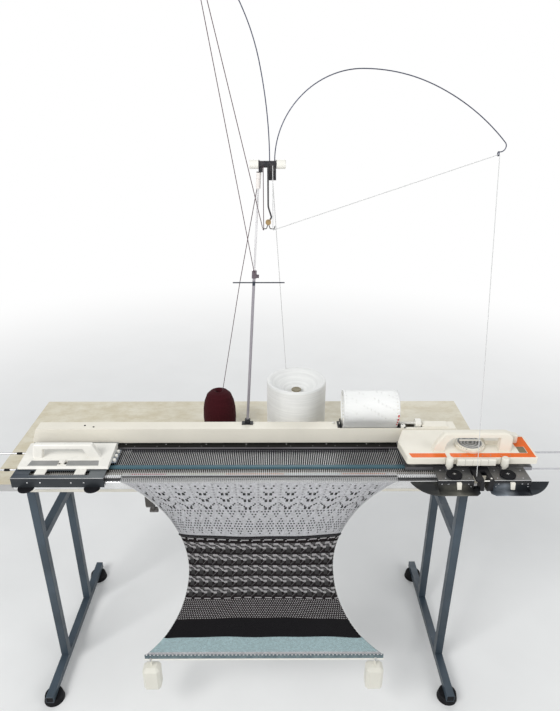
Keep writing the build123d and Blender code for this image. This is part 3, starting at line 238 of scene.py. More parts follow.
def resampled(line, count):
    """Points in even steps along a line of (a, b) points, and their distances from its start."""
    steps = np.concatenate(((0,), np.cumsum(np.linalg.norm(np.diff(line, axis=0), axis=1))))
    along = np.linspace(0, steps[-1], count)
    return np.stack((np.interp(along, steps, line[:, 0]), np.interp(along, steps, line[:, 1])), 1), along


def new_object(name, data):
    obj = bpy.data.objects.new(name, data)
    bpy.context.scene.collection.objects.link(obj)
    return obj


def mesh_object(name, points, faces, sharp=40.0):
    mesh = bpy.data.meshes.new(name)
    mesh.from_pydata([tuple(p) for p in points], [], faces)
    mesh.validate()
    mesh.polygons.foreach_set("use_smooth", [True] * len(mesh.polygons))
    mesh.set_sharp_from_angle(angle=math.radians(sharp))
    return new_object(name, mesh)


def piece(name, shape, body, look, bevel=0.0, replaces=()):
    """A new part of the object, in table millimetres, that rides on a body."""
    points, faces = shape
    obj = mesh_object(name, metres(points), faces)
    obj.data.materials.append(looks[look])
    if bevel:
        soften(obj, bevel)
    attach(obj, body)
    if replaces:
        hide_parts(*replaces)
    return obj


def soften(obj, width, segments=2, angle=38.0):
    """Rounds an object's sharp edges by a width in millimetres."""
    weld = obj.modifiers.new("weld", "WELD")
    weld.merge_threshold = 0.00001
    bevel = obj.modifiers.new("bevel", "BEVEL")
    bevel.width = width / 1000
    bevel.segments = segments
    bevel.limit_method = "ANGLE"
    bevel.angle_limit = math.radians(angle)
    bevel.use_clamp_overlap = True
    bevel.harden_normals = True


# Materials


class Nodes:
    """A node tree that is put together call by call."""

    def __init__(self, tree):
        self.tree = tree

    def add(self, kind, *inputs, **settings):
        node = self.tree.nodes.new(kind)
        for key, value in settings.items():
            setattr(node, key, value)
        for socket, value in zip(node.inputs, inputs):
            self.feed(socket, value)
        return node

    def feed(self, socket, value):
        if isinstance(value, bpy.types.NodeSocket):
            self.tree.links.new(value, socket)
        elif value is not None:
            socket.default_value = value


class Finish(Nodes):
    """One procedural material in object space."""

    def __init__(self, name, roughness=0.5, metallic=0.0, **sockets):
        self.material = bpy.data.materials.new(name)
        self.material.use_nodes = True
        super().__init__(self.material.node_tree)
        self.shader = self.tree.nodes["Principled BSDF"]
        for socket, value in (("Roughness", roughness), ("Metallic", metallic), *sockets.items()):
            self.shader.inputs[socket.replace("_", " ")].default_value = value
        self.place = self.add("ShaderNodeTexCoord").outputs["Object"]

    def math(self, operation, *inputs):
        return self.add("ShaderNodeMath", *inputs, operation=operation).outputs[0]

    times = partialmethod(math, "MULTIPLY")
    plus = partialmethod(math, "ADD")
    minus = partialmethod(math, "SUBTRACT")
    power = partialmethod(math, "POWER")
    above = partialmethod(math, "GREATER_THAN")
    below = partialmethod(math, "LESS_THAN")
    sine = partialmethod(math, "SINE")
    absolute = partialmethod(math, "ABSOLUTE")
    fraction = partialmethod(math, "FRACT")
    root = partialmethod(math, "SQRT")

    def fade(self, value, low, high, first, second):
        """The first colour below one value, the second above the other, and a mix between them."""
        return self.mix(self.spread(value, low, high), first, second)

    def level(self):
        """The height above the table's top, in metres."""
        return self.minus(self.parts()[2], TABLE_HEIGHT / 1000)

    def parts(self, vector=None):
        return self.add("ShaderNodeSeparateXYZ", vector or self.place).outputs

    def stretched(self, x, y, z):
        """Object space scaled by its own factor along each axis."""
        node = self.add("ShaderNodeVectorMath", self.place, operation="MULTIPLY")
        node.inputs[1].default_value = (x, y, z)
        return node.outputs[0]

    def noise(self, scale, detail=3.0, vector=None, roughness=0.55):
        node = self.add("ShaderNodeTexNoise")
        self.feed(node.inputs["Vector"], vector or self.place)
        node.inputs["Scale"].default_value = scale
        node.inputs["Detail"].default_value = detail
        node.inputs["Roughness"].default_value = roughness
        return node.outputs["Fac"]

    def ramp(self, value, *stops, constant=False):
        node = self.add("ShaderNodeValToRGB", value)
        ramp = node.color_ramp
        if constant:
            ramp.interpolation = "CONSTANT"
        while len(ramp.elements) < len(stops):
            ramp.elements.new(0.5)
        for element, (position, colour) in zip(ramp.elements, stops):
            element.position = position
            element.color = (*colour, 1.0)
        return node.outputs["Color"]

    def bands(self, axis, shift, low, high, *zones):
        """Plain colours along an axis, each from its own table millimetre up to the next one's."""
        along = self.spread(self.parts()[axis], (low + shift) / 1000, (high + shift) / 1000)
        return self.ramp(along, *(((start - low) / (high - low), tone) for start, tone in zones), constant=True)

    def mix(self, factor, first, second):
        node = self.add("ShaderNodeMix", data_type="RGBA")
        self.feed(node.inputs[0], factor)
        for socket, value in ((node.inputs[6], first), (node.inputs[7], second)):
            self.feed(socket, (*value, 1.0) if isinstance(value, tuple) else value)
        return node.outputs[2]

    def spread(self, value, low, high, to_low=0.0, to_high=1.0):
        return self.add("ShaderNodeMapRange", value, low, high, to_low, to_high).outputs[0]

    def colour(self, value):
        self.feed(self.shader.inputs["Base Color"], value)

    def rough(self, value, low, high):
        self.feed(self.shader.inputs["Roughness"], self.spread(value, 0.3, 0.7, low, high))

    def bump(self, height, millimetres, strength=1.0):
        node = self.add("ShaderNodeBump")
        node.inputs["Strength"].default_value = strength
        node.inputs["Distance"].default_value = millimetres / 1000
        self.feed(node.inputs["Height"], height)
        self.feed(self.shader.inputs["Normal"], node.outputs["Normal"])

    def between(self, value, low, high):
        """1 where a coordinate lies between two values, else 0."""
        return self.times(self.above(value, low), self.below(value, high))


def shade(colour, factor):
    return tuple(min(1.0, channel * factor) for channel in colour)


def plastic(name, colour, roughness=0.42, grain=0.05, coat=0.0):
    """Moulded plastic: a fine spark-eroded grain, faint yellowing and handling marks."""
    look = Finish(name, roughness, Specular_IOR_Level=0.3, Coat_Weight=coat, Coat_Roughness=0.25)
    patches = look.noise(9.0, 4.0)
    fine = look.noise(1400.0, 2.0)
    tone = look.fade(patches, 0.35, 0.7, shade(colour, 1.02), shade(colour, 0.95))
    specks = look.above(look.noise(260.0, 1.0), 0.755)
    look.colour(look.mix(look.times(specks, 0.35), tone, shade(colour, 0.72)))
    look.rough(look.noise(45.0, 5.0), roughness - 0.06, roughness + 0.1)
    look.bump(fine, grain)
    return look.material


def metal(name, colour, roughness=0.32, along=(3.0, 180.0, 180.0), dark=0.78, metallic=0.9):
    """Rolled steel: fine grain along one way and small dull spots."""
    look = Finish(name, roughness, metallic)
    grain = look.noise(6.0, 4.0, look.stretched(*along))
    cloud = look.noise(22.0, 4.0)
    tone = look.fade(cloud, 0.3, 0.75, shade(colour, 1.05), shade(colour, dark))
    spots = look.above(look.noise(420.0, 2.0), 0.72)
    look.colour(look.mix(look.times(spots, 0.5), tone, shade(colour, 0.45)))
    look.rough(grain, roughness - 0.08, roughness + 0.14)
    look.bump(grain, 0.03)
    return look.material


def rubber(name, colour):
    """Matt black rubber, a little greyed with dust."""
    look = Finish(name, 0.6, Specular_IOR_Level=0.2)
    cloud = look.noise(30.0, 5.0)
    look.colour(look.fade(cloud, 0.35, 0.7, colour, shade(colour, 2.2)))
    look.rough(look.noise(90.0, 3.0), 0.6, 0.85)
    look.bump(look.noise(900.0, 3.0), 0.08)
    return look.material


def wool(name, colour, twist=900.0):
    """Plied yarn: slanting strands across the thread, with a little fuzz, and painted shade darkening the hollows
    between the strands.
    """
    look = Finish(name, 0.85, Specular_IOR_Level=0.2, Sheen_Weight=0.25, Sheen_Roughness=0.5)
    x, y, z = look.parts()[:3]
    slope = look.plus(look.plus(x, y), z)
    strand = look.sine(look.times(slope, twist * 6.283))
    fuzz = look.noise(1800.0, 4.0)
    height = look.plus(strand, look.times(fuzz, 1.5))
    # Painted shade: the colour darkens where the strands and the fuzz sink.
    look.colour(look.fade(height, -0.8, 2.2, shade(colour, 0.62), shade(colour, 1.06)))
    look.bump(height, 0.12)
    return look.material


def wound_wool(name, colour, sheen):
    """The outside of a wound package: crossing threads laid at a low angle."""
    look = Finish(name, 0.88, Specular_IOR_Level=0.1, Sheen_Weight=sheen, Sheen_Roughness=0.5)
    fuzz = look.noise(1500.0, 4.0)
    cloud = look.noise(35.0, 3.0)
    layers = look.noise(8.0, 3.0, look.stretched(1.0, 1.0, 60.0))
    tone = look.fade(layers, 0.3, 0.7, shade(colour, 0.9), shade(colour, 1.04))
    look.colour(look.mix(look.spread(cloud, 0.3, 0.7, 0.0, 0.25), tone, shade(colour, 0.82)))
    look.bump(fuzz, 0.15)
    return look.material


def table_board():
    """Pale laminate with a faint mottled print, and a lighter edging strip."""
    look = Finish("table_board", 0.4, Specular_IOR_Level=0.4)
    top = (0.60, 0.54, 0.40)
    pale = (0.72, 0.68, 0.56)
    mottle = look.noise(16.0, 6.0, look.stretched(1.0, 1.6, 1.0), 0.7)
    fleck = look.noise(240.0, 3.0)
    board = look.fade(mottle, 0.38, 0.66, top, pale)
    board = look.mix(look.times(look.above(fleck, 0.66), 0.35), board, shade(top, 0.8))
    normal = look.parts(look.add("ShaderNodeNewGeometry").outputs["Normal"])
    upright = look.below(normal[2], 0.5)
    edging = look.fade(look.noise(14.0, 4.0), 0.3, 0.7, (0.38, 0.375, 0.37), (0.46, 0.455, 0.45))
    look.colour(look.mix(upright, board, edging))
    look.rough(look.noise(30.0, 4.0), 0.32, 0.5)
    look.bump(fleck, 0.05)
    return look.material


def bed_metal():
    """The slotted bed: dark painted zones, pale metal at the front, a line of coloured marks, a brown band of painted
    shadow from the retainer bar behind the marks, and painted shade below the bed's top.
    """
    look = Finish("bed_metal", 0.5, Specular_IOR_Level=0.06)
    x, y, z = look.parts()[:3]
    # The brown band from -40 to -26 mm is a painted shadow of the retainer bar.
    painted = look.bands(1, -ORIGIN_Y, BED_FRONT_Y, BED_REAR_Y, (BED_FRONT_Y, (0.08, 0.08, 0.08)),
                         (-58.4, (0.50, 0.50, 0.50)), (MARKS_FRONT_Y, (0.30, 0.29, 0.27)),
                         (MARKS_REAR_Y, (0.42, 0.40, 0.37)), (-40, (0.035, 0.028, 0.018)),
                         (-26, (0.004, 0.004, 0.006)), (44, (0.03, 0.028, 0.035)), (52, (0.012, 0.011, 0.014)),
                         (71.5, (0.002, 0.002, 0.002)))
    along = look.spread(x, -0.45, 0.45)
    marks = ((0.0, (0.40, 0.38, 0.33)), (0.21, (0.34, 0.02, 0.05)), (0.30, (0.46, 0.46, 0.33)),
             (0.45, (0.48, 0.16, 0.06)), (0.60, (0.40, 0.46, 0.46)), (0.75, (0.46, 0.14, 0.07)),
             (0.86, (0.42, 0.38, 0.36)))
    line = look.between(y, (MARKS_FRONT_Y - ORIGIN_Y) / 1000, (MARKS_REAR_Y - ORIGIN_Y) / 1000)
    marked = look.mix(line, painted, look.ramp(along, *marks, constant=True))
    away = look.absolute(look.minus(x, (WORKING_RIGHT_X + WORKING_LEFT_X) / 2000))
    beyond = look.above(away, (WORKING_RIGHT_X - WORKING_LEFT_X) / 2000)
    front = look.below(y, (MARKS_FRONT_Y - ORIGIN_Y) / 1000)
    marked = look.mix(look.times(beyond, front), marked, (0.72, 0.72, 0.72))
    wear = look.noise(12.0, 5.0, look.stretched(30.0, 1.0, 1.0))
    worn = look.mix(look.spread(wear, 0.55, 0.8, 0.0, 0.12), marked, (0.20, 0.20, 0.20))
    # Painted shade: below the bed's top, in the slots and down its faces, the colour goes nearly black.
    below_top_shade = look.below(z, (BED_TOP - 0.5 + TABLE_HEIGHT) / 1000)
    look.colour(look.mix(look.times(below_top_shade, 0.9), worn, (0.008, 0.008, 0.01)))
    look.rough(wear, 0.35, 0.55)
    look.bump(look.noise(160.0, 3.0), 0.05)
    return look.material


def rail_paint():
    """The rear rail: black on top, worn grey along the front edge that the carriages run on."""
    look = Finish("rail_paint", 0.5, Specular_IOR_Level=0.08)
    y = look.parts()[1]
    edge = look.below(y, (58.6 - ORIGIN_Y) / 1000)
    cloud = look.noise(5.0, 4.0, look.stretched(1.0, 12.0, 1.0))
    tone = look.fade(cloud, 0.3, 0.7, (0.003, 0.003, 0.003), (0.014, 0.013, 0.012))
    grey = look.fade(cloud, 0.3, 0.7, (0.11, 0.10, 0.105), (0.20, 0.19, 0.20))
    look.colour(look.mix(edge, tone, grey))
    look.rough(cloud, 0.4, 0.6)
    look.bump(look.noise(260.0, 3.0), 0.04)
    return look.material


def needle_steel():
    """Polished needles whose raised butts are darker."""
    look = Finish("needle_steel", 0.35, 0.25)
    z = look.parts()[2]
    butt = look.above(z, (BED_TOP + TABLE_HEIGHT) / 1000)
    grain = look.noise(6.0, 4.0, look.stretched(180.0, 3.0, 180.0))
    bright = look.fade(grain, 0.3, 0.7, (0.78, 0.78, 0.77), (0.58, 0.58, 0.58))
    look.colour(look.mix(butt, bright, (0.16, 0.16, 0.165)))
    look.rough(grain, 0.28, 0.45)
    look.bump(grain, 0.02)
    return look.material


def sinker_plate():
    """Speckled grey plates on top, glossy black fronts, walls and wings below them, with painted reflections on the
    wings' lobes.
    """
    look = Finish("sinker_plate", 0.35, 0.55, Specular_IOR_Level=0.35)
    x = look.parts()[0]
    level = look.level()
    top = look.above(level, SINKER_PLATE_LEVEL)
    speckle = look.noise(700.0, 2.0)
    fade = look.spread(x, 0.43, 0.65)
    wave = look.noise(9.0, 3.0, look.stretched(2.0, 1.0, 1.0))
    pale = look.fade(wave, 0.35, 0.7, (0.16, 0.16, 0.165), (0.36, 0.355, 0.35))
    plate = look.fade(speckle, 0.45, 0.7, (0.12, 0.12, 0.12), pale)
    plate = look.mix(look.times(fade, 0.25), plate, (0.42, 0.41, 0.40))
    sheen = look.noise(14.0, 3.0, look.stretched(1.0, 3.0, 1.0))
    black = look.mix(look.spread(sheen, 0.5, 0.75, 0.0, 0.2), (0.006, 0.007, 0.009), (0.06, 0.06, 0.065))
    # Painted reflections on the wings' lobes below the plates: brownish on the left lobe, pale then dark on the right
    # one.
    lobes = look.ramp(look.spread(x, 0.43, 0.65), (0.0, (0.05, 0.05, 0.045)), (0.25, (0.16, 0.155, 0.13)),
                      (0.4, (0.04, 0.04, 0.035)), (0.6, (0.10, 0.12, 0.14)), (0.72, (0.34, 0.38, 0.42)),
                      (0.85, (0.03, 0.035, 0.04)))
    low = look.spread(level, 0.056, 0.066, 1.0, 0.0)
    black = look.mix(look.times(low, look.spread(sheen, 0.35, 0.65, 0.3, 1.0)), black, lobes)
    look.colour(look.mix(top, black, plate))
    look.feed(look.shader.inputs["Roughness"], look.spread(top, 0.0, 1.0, 0.14, 0.36))
    look.feed(look.shader.inputs["Metallic"], look.spread(top, 0.0, 1.0, 0.0, 0.7))
    look.bump(speckle, 0.03)
    return look.material


def lace_plate():
    """Blued steel that pales towards the right, with a dark front face."""
    look = Finish("lace_plate", 0.34, 0.5)
    x = look.parts()[0]
    top = look.above(look.level(), LACE_PLATE_LEVEL)
    grain = look.noise(60.0, 4.0, look.stretched(0.2, 3.0, 1.0))
    fade = look.spread(x, -0.53, -0.31)
    tone = look.mix(fade, (0.045, 0.06, 0.08), (0.17, 0.185, 0.19))
    tone = look.mix(look.spread(grain, 0.35, 0.7, 0.0, 0.3), tone, (0.22, 0.24, 0.26))
    front = look.fade(grain, 0.3, 0.75, (0.022, 0.026, 0.032), (0.05, 0.055, 0.06))
    look.colour(look.mix(top, front, tone))
    look.rough(grain, 0.28, 0.48)
    look.bump(grain, 0.04)
    return look.material


def stand_paint():
    """Blue-grey stove paint with a few chips."""
    look = Finish("stand_paint", 0.4, 0.0, Specular_IOR_Level=0.35, Coat_Weight=0.1, Coat_Roughness=0.3)
    colour = (0.032, 0.046, 0.060)
    cloud = look.noise(7.0, 5.0)
    chips = look.above(look.noise(75.0, 4.0), 0.735)
    tone = look.fade(cloud, 0.35, 0.7, colour, shade(colour, 1.7))
    look.colour(look.mix(look.times(chips, 0.5), tone, (0.22, 0.22, 0.23)))
    look.rough(look.noise(40.0, 4.0), 0.3, 0.5)
    look.bump(look.noise(520.0, 2.0), 0.05)
    return look.material


def mast_steel():
    """The mast: a grey lower rod, a dark joint and a whitened upper rod."""
    look = Finish("mast_steel", 0.35, 0.6)
    tone = look.bands(2, TABLE_HEIGHT, 80, 720, (80, (0.36, 0.34, 0.37)), (462, (0.05, 0.06, 0.08)),
                      (472.5, (0.36, 0.34, 0.37)), (480, (0.16, 0.13, 0.15)), (497, (0.86, 0.85, 0.86)))
    cloud = look.noise(60.0, 4.0, look.stretched(1.0, 1.0, 0.15))
    look.colour(look.mix(look.spread(cloud, 0.45, 0.75, 0.0, 0.35), tone, (0.25, 0.22, 0.22)))
    look.rough(cloud, 0.28, 0.5)
    look.bump(look.noise(300.0, 2.0), 0.03)
    return look.material


def tension_paint():
    """The black unit with its white sleeve on the mast and the brass boss at the hooks."""
    look = Finish("tension_paint", 0.4)
    x = look.parts()[0]
    level = look.level()
    sleeve = look.times(look.below(x, 0.046), look.below(level, 0.7095))
    boss = look.times(look.between(level, 0.6005, 0.6135), look.between(x, 0.051, 0.065))
    cloud = look.noise(120.0, 4.0)
    black = look.fade(cloud, 0.4, 0.75, (0.018, 0.018, 0.022), (0.07, 0.06, 0.06))
    white = look.fade(cloud, 0.35, 0.75, (0.86, 0.83, 0.80), (0.72, 0.66, 0.62))
    brass = look.fade(cloud, 0.35, 0.75, (0.36, 0.24, 0.10), (0.20, 0.13, 0.07))
    look.colour(look.mix(boss, look.mix(sleeve, black, white), brass))
    look.rough(look.noise(200.0, 3.0), 0.3, 0.5)
    look.bump(look.noise(700.0, 2.0), 0.04)
    return look.material


def dial_face():
    """A mottled grey face with turned rings inside a cream rim."""
    look = Finish("dial_face", 0.4, Specular_IOR_Level=0.5)
    x, y = look.parts()[:2]
    across = look.minus(x, DIAL_X / 1000)
    along = look.minus(y, (DIAL_Y - ORIGIN_Y) / 1000)
    radius = look.root(look.plus(look.power(across, 2.0), look.power(along, 2.0)))
    face = look.below(radius, DIAL_FACE_RADIUS / 1000)
    mottle = look.noise(170.0, 3.0)
    rings = look.sine(look.plus(look.times(radius, 900.0), look.times(mottle, 2.5)))
    grey = look.fade(rings, -1.0, 1.0, (0.10, 0.10, 0.095), (0.52, 0.52, 0.50))
    grey = look.mix(look.spread(mottle, 0.4, 0.65, 0.0, 0.6), grey, (0.16, 0.16, 0.15))
    cream = look.fade(look.noise(60.0, 3.0), 0.3, 0.7, (0.80, 0.76, 0.66), (0.72, 0.68, 0.57))
    look.colour(look.mix(face, cream, grey))
    look.rough(look.noise(150.0, 3.0), 0.3, 0.5)
    look.bump(look.times(rings, face), 0.08)
    return look.material


def knitting():
    """Knitting: each stitch is a V of two plies, in the colour its cell carries, with painted shade darkening the
    hollows between its legs and rows.
    """
    look = Finish("knitting", 0.94, Specular_IOR_Level=0.08, Sheen_Weight=0.03, Sheen_Roughness=0.6)
    uv = look.add("ShaderNodeUVMap", uv_map="stitches").outputs["UV"]
    column, row = look.parts(uv)[:2]
    side = look.absolute(look.minus(look.times(look.fraction(column), 2.0), 1.0))
    leg = look.sine(look.times(side, math.pi))
    slope = look.fraction(look.plus(row, look.times(side, 0.9)))
    rise = look.sine(look.times(slope, math.pi))
    ply = look.sine(look.times(look.plus(look.times(side, 1.6), row), 25.1))
    stitch = look.times(leg, look.power(rise, 0.55))
    fuzz = look.noise(1500.0, 4.0)
    height = look.plus(stitch, look.times(look.plus(ply, fuzz), 0.12))
    tone = look.add("ShaderNodeAttribute", attribute_name="stitch_colour").outputs["Color"]
    # Painted shade: the colour falls to under half where the stitch's legs sink.
    groove_shade = look.add("ShaderNodeMix", data_type="RGBA", blend_type="MULTIPLY")
    groove_shade.inputs[0].default_value = 1.0
    look.feed(groove_shade.inputs[6], tone)
    look.feed(groove_shade.inputs[7], look.fade(stitch, 0.0, 0.7, (0.45, 0.45, 0.47), (1.0, 1.0, 1.0)))
    look.colour(groove_shade.outputs[2])
    look.bump(height, 0.9)
    return look.material


def comb():
    """Dark blue-green teeth over a cream rod."""
    look = Finish("comb", 0.4)
    rod = look.below(look.level(), COMB_TEETH_FOOT)
    cloud = look.noise(50.0, 4.0)
    teeth = look.fade(cloud, 0.3, 0.7, (0.07, 0.11, 0.13), (0.16, 0.22, 0.23))
    white = look.fade(cloud, 0.3, 0.7, (0.84, 0.82, 0.76), (0.72, 0.70, 0.64))
    look.colour(look.mix(rod, teeth, white))
    look.rough(cloud, 0.3, 0.5)
    look.bump(look.noise(800.0, 2.0), 0.04)
    return look.material


def screw_steel():
    """Dark steel with a screw thread turned on its upright lengths."""
    look = Finish("screw_steel", 0.3, 0.9)
    z = look.parts()[2]
    thread = look.sine(look.times(z, 2 * math.pi / SCREW_PITCH))
    cloud = look.noise(90.0, 4.0)
    look.colour(look.fade(cloud, 0.35, 0.75, (0.16, 0.155, 0.15), (0.07, 0.06, 0.055)))
    look.rough(cloud, 0.25, 0.5)
    look.bump(thread, 0.25)
    return look.material


def print_look(name, colour):
    """A printed panel, a little glossier than the case it lies on."""
    look = Finish(name, 0.4, Specular_IOR_Level=0.2)
    cloud = look.noise(55.0, 5.0)
    rub = look.above(look.noise(190.0, 4.0), 0.7)
    tone = look.fade(cloud, 0.3, 0.7, colour, shade(colour, 0.88))
    look.colour(look.mix(look.times(rub, 0.3), tone, shade(colour, 1.35)))
    look.rough(look.noise(80.0, 3.0), 0.28, 0.45)
    look.bump(look.noise(1100.0, 2.0), 0.02)
    return look.material


CREAM = (0.80, 0.76, 0.66)
WHITE = (0.82, 0.80, 0.74)
FLAT_GRAIN = (120.0, 120.0, 4.0)
looks = {}
for makers in ((plastic, ("case_plastic", CREAM, 0.36), ("white_plastic", WHITE, 0.28, 0.03, 0.2),
                ("button_plastic", (0.82, 0.79, 0.70), 0.3, 0.03, 0.2), ("dark_plastic", (0.010, 0.010, 0.012), 0.4),
                ("card_plastic", (0.86, 0.86, 0.84), 0.45, 0.02), ("clamp_paint", (0.07, 0.065, 0.06), 0.45, 0.1),
                ("weight_paint", (0.74, 0.72, 0.64), 0.4, 0.12)),
               (metal, ("steel", (0.58, 0.58, 0.60)), ("plate_steel", (0.34, 0.34, 0.36), 0.36, FLAT_GRAIN),
                ("blue_steel", (0.25, 0.28, 0.33), 0.3, FLAT_GRAIN),
                ("wire_steel", (0.10, 0.11, 0.16), 0.4, (60.0, 60.0, 60.0)),
                ("bright_steel", (0.78, 0.78, 0.78), 0.25)),
               (rubber, ("black_rubber", (0.006, 0.006, 0.007))),
               (wool, ("white_wool", (0.80, 0.80, 0.79)), ("dark_wool", (0.07, 0.015, 0.03)),
                ("black_wool", (0.010, 0.009, 0.011))),
               (wound_wool, ("white_winding", (0.82, 0.82, 0.80), 0.2), ("dark_winding", (0.045, 0.006, 0.009), 0.04)),
               (print_look, ("orange_print", (0.84, 0.15, 0.015)), ("olive_print", (0.20, 0.17, 0.10)),
                ("grey_print", (0.30, 0.30, 0.29)), ("bar_paint", (0.07, 0.14, 0.17)),
                ("red_print", (0.62, 0.03, 0.03)), ("black_print", (0.02, 0.02, 0.02)))):
    for name, *settings in makers[1:]:
        looks[name] = makers[0](name, *settings)
for maker in (needle_steel, table_board, rail_paint, sinker_plate, lace_plate, bed_metal, stand_paint, mast_steel,
              tension_paint, dial_face, knitting, comb, screw_steel):
    looks[maker.__name__] = maker()

# The shown CAD nodes by their finish and the rounding of their edges in millimetres.
NODE_LOOKS = (
    ("table_board", 0.8, "table_top"), ("stand_paint", 1.2, "leg_frames foot_bars"),
    ("black_rubber", 1.5, "rubber_feet"), ("black_rubber", 0.6, "brush_disc_left brush_disc_right"),
    ("black_rubber", 0.5, "l_presser_pads"), ("case_plastic", 1.2, "k_handle"), ("case_plastic", 1.0, "machine_base"),
    ("case_plastic", 0.8, "rear_cover"), ("case_plastic", 0.0, "k_body"), ("bed_metal", 0.0, "needle_bed"),
    ("rail_paint", 0.0, "rear_rail"), ("bar_paint", 0.3, "needle_retainer_bar"), ("bright_steel", 0.3, "front_rail"),
    ("steel", 0.0, "extension_rails"), ("dark_plastic", 0.3, "card_reader_frame"),
    ("dark_plastic", 0.5, "yarn_feeder"), ("dark_plastic", 0.4, "mast_bracket"),
    ("white_plastic", 0.5, "card_feed_knob"), ("white_plastic", 0.3, "card_lock_lever"),
    ("white_plastic", 0.6, "l_body l_selector"),
    ("white_plastic", 0.0, "tension_knob_left tension_knob_right"), ("plate_steel", 0.0, "k_cam_plate"),
    ("dial_face", 0.6, "k_tension_dial"), ("sinker_plate", 0.0, "sinker_frame"), ("lace_plate", 0.0, "l_plate"),
    ("button_plastic", 0.4, "k_change_knob k_button_1 k_button_2 k_button_3 k_button_4 k_button_5"),
    ("button_plastic", 0.6, "k_thumb_screws weaving_lever_left weaving_lever_right"), ("mast_steel", 0.0, "mast_rods"),
    ("tension_paint", 0.0, "tension_unit"), ("wire_steel", 0.0, "take_up_wire_left take_up_wire_right"),
    ("comb", 0.0, "cast_on_comb"), ("weight_paint", 1.2, "claw_weight_left claw_weight_right"),
    ("clamp_paint", 1.0, "clamp_frames"), ("clamp_paint", 0.3, "clamp_pad_left clamp_pad_right"),
    ("screw_steel", 0.3, "clamp_screw_left clamp_screw_right"))


def dress_cad_nodes():
    for look, rounding, names in NODE_LOOKS:
        for name in names.split():
            materials = nodes[name].data.materials
            materials.clear()
            materials.append(looks[look])
            if rounding:
                soften(nodes[name], rounding)


# Yarns

# The route of each yarn, with a point about 10 mm from each hook on the long straight runs.
WHITE_SUPPLY = ((102.0, 304.8, 163.0), (67.6, 125.4, 693.5), (67.0, 122.2, 703.0))
WHITE_RUN = ((68.0, 109.9, 724.0), (68.0, 106.75, 600.5), (68.0, 106.5, 590.5), (69.5, 111.6, 590.0),
             (79.0, 111.7, 593.1), (535.3, 117.7, 743.9))
FEED_UPPER = ((535.3, 117.7, 743.9), (537.4, 117.7, 744.6), (539.9, 116.4, 744.7), (539.7, 113.6, 735.1),
              (525.2, -75.6, 75.6), (525.0, -78.4, 66.0), (515.0, -77.9, 65.5))
FEED_LOWER = ((515.0, -77.9, 65.5), (420.0, -73.1, 60.7), (352.5, -69.6, 57.2))
DARK_SUPPLY = ((-69.0, 238.0, 132.3), (-9.7, 128.4, 458.2), (-8.0, 125.3, 467.5), (-6.0, 125.3, 477.3),
               (44.0, 126.1, 725.0))
DARK_RUN = ((48.0, 109.9, 724.0), (48.0, 106.75, 600.5), (48.0, 106.5, 590.5), (46.5, 111.6, 590.0),
            (44.2, 111.7, 599.7), (-77.5, 117.7, 1119.1), (-79.8, 117.8, 1128.8), (-84.8, 117.8, 1128.8),
            (-83.1, 117.7, 1118.9), (25.7, 111.4, 494.0))


def spline_curve(name, route, thick):
    curve = bpy.data.curves.new(name, "CURVE")
    curve.dimensions = "3D"
    spline = curve.splines.new("NURBS")
    spline.points.add(len(route) - 1)
    for point, place in zip(spline.points, route):
        point.co = (*at(*place), 1.0)
    spline.order_u = 3
    spline.use_endpoint_u = True
    curve.resolution_u = 12
    if thick:
        curve.bevel_depth = YARN_RADIUS / 1000
        curve.bevel_resolution = 3
        curve.use_fill_caps = True
    return new_object(name, curve)


def yarn(name, route, look, node):
    obj = spline_curve(name, route, True)
    obj.data.materials.append(looks[look])
    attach(obj, "machine")
    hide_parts(node)


def blended_yarn(name, route, look, node):
    """A tight yarn between the machine and the moving main carriage, as a tube that can follow both."""
    line = spline_curve(name + "_line", route, False)
    path_mesh = bpy.data.meshes.new_from_object(line)
    path = np.array([vertex.co for vertex in path_mesh.vertices], float)
    bpy.data.objects.remove(line)
    points, faces = tube(path, YARN_RADIUS / 1000, 8)
    obj = mesh_object(name, points, faces)
    obj.data.materials.append(looks[look])
    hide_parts(node)
    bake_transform(obj)


def yarns():
    yarn("white_supply_yarn", WHITE_SUPPLY, "white_wool", "white_yarn")
    yarn("white_run_yarn", WHITE_RUN, "white_wool", "white_yarn")
    yarn("dark_supply_yarn", DARK_SUPPLY, "dark_wool", "dark_yarn")
    yarn("dark_run_yarn", DARK_RUN, "dark_wool", "dark_yarn")
    blended_yarn("feed_yarn_upper", FEED_UPPER, "white_wool", "feed_yarn")
    blended_yarn("feed_yarn_lower", FEED_LOWER, "white_wool", "feed_yarn")


# Knitting


def arc_x(z, first, middle, last):
    """x on the circle through three (x, z) points, for each z between the first and the last."""
    (ax, az), (bx, bz), (cx, cz) = first, middle, last
    turn = 2 * (ax * (bz - cz) + bx * (cz - az) + cx * (az - bz))
    a2, b2, c2 = ax ** 2 + az ** 2, bx ** 2 + bz ** 2, cx ** 2 + cz ** 2
    ox = (a2 * (bz - cz) + b2 * (cz - az) + c2 * (az - bz)) / turn
    oz = (a2 * (cx - bx) + b2 * (ax - cx) + c2 * (bx - ax)) / turn
    radius = math.hypot(ax - ox, az - oz)
    reach = np.sqrt(np.maximum(radius ** 2 - (z - oz) ** 2, 0))
    return ox + reach if bx > ox else ox - reach


def edge_x(z, edge):
    upper = arc_x(np.maximum(z, WAIST_Z), *edge[:3])
    lower = arc_x(np.minimum(z, WAIST_Z), *edge[2:])
    return np.where(z >= WAIST_Z, upper, lower)


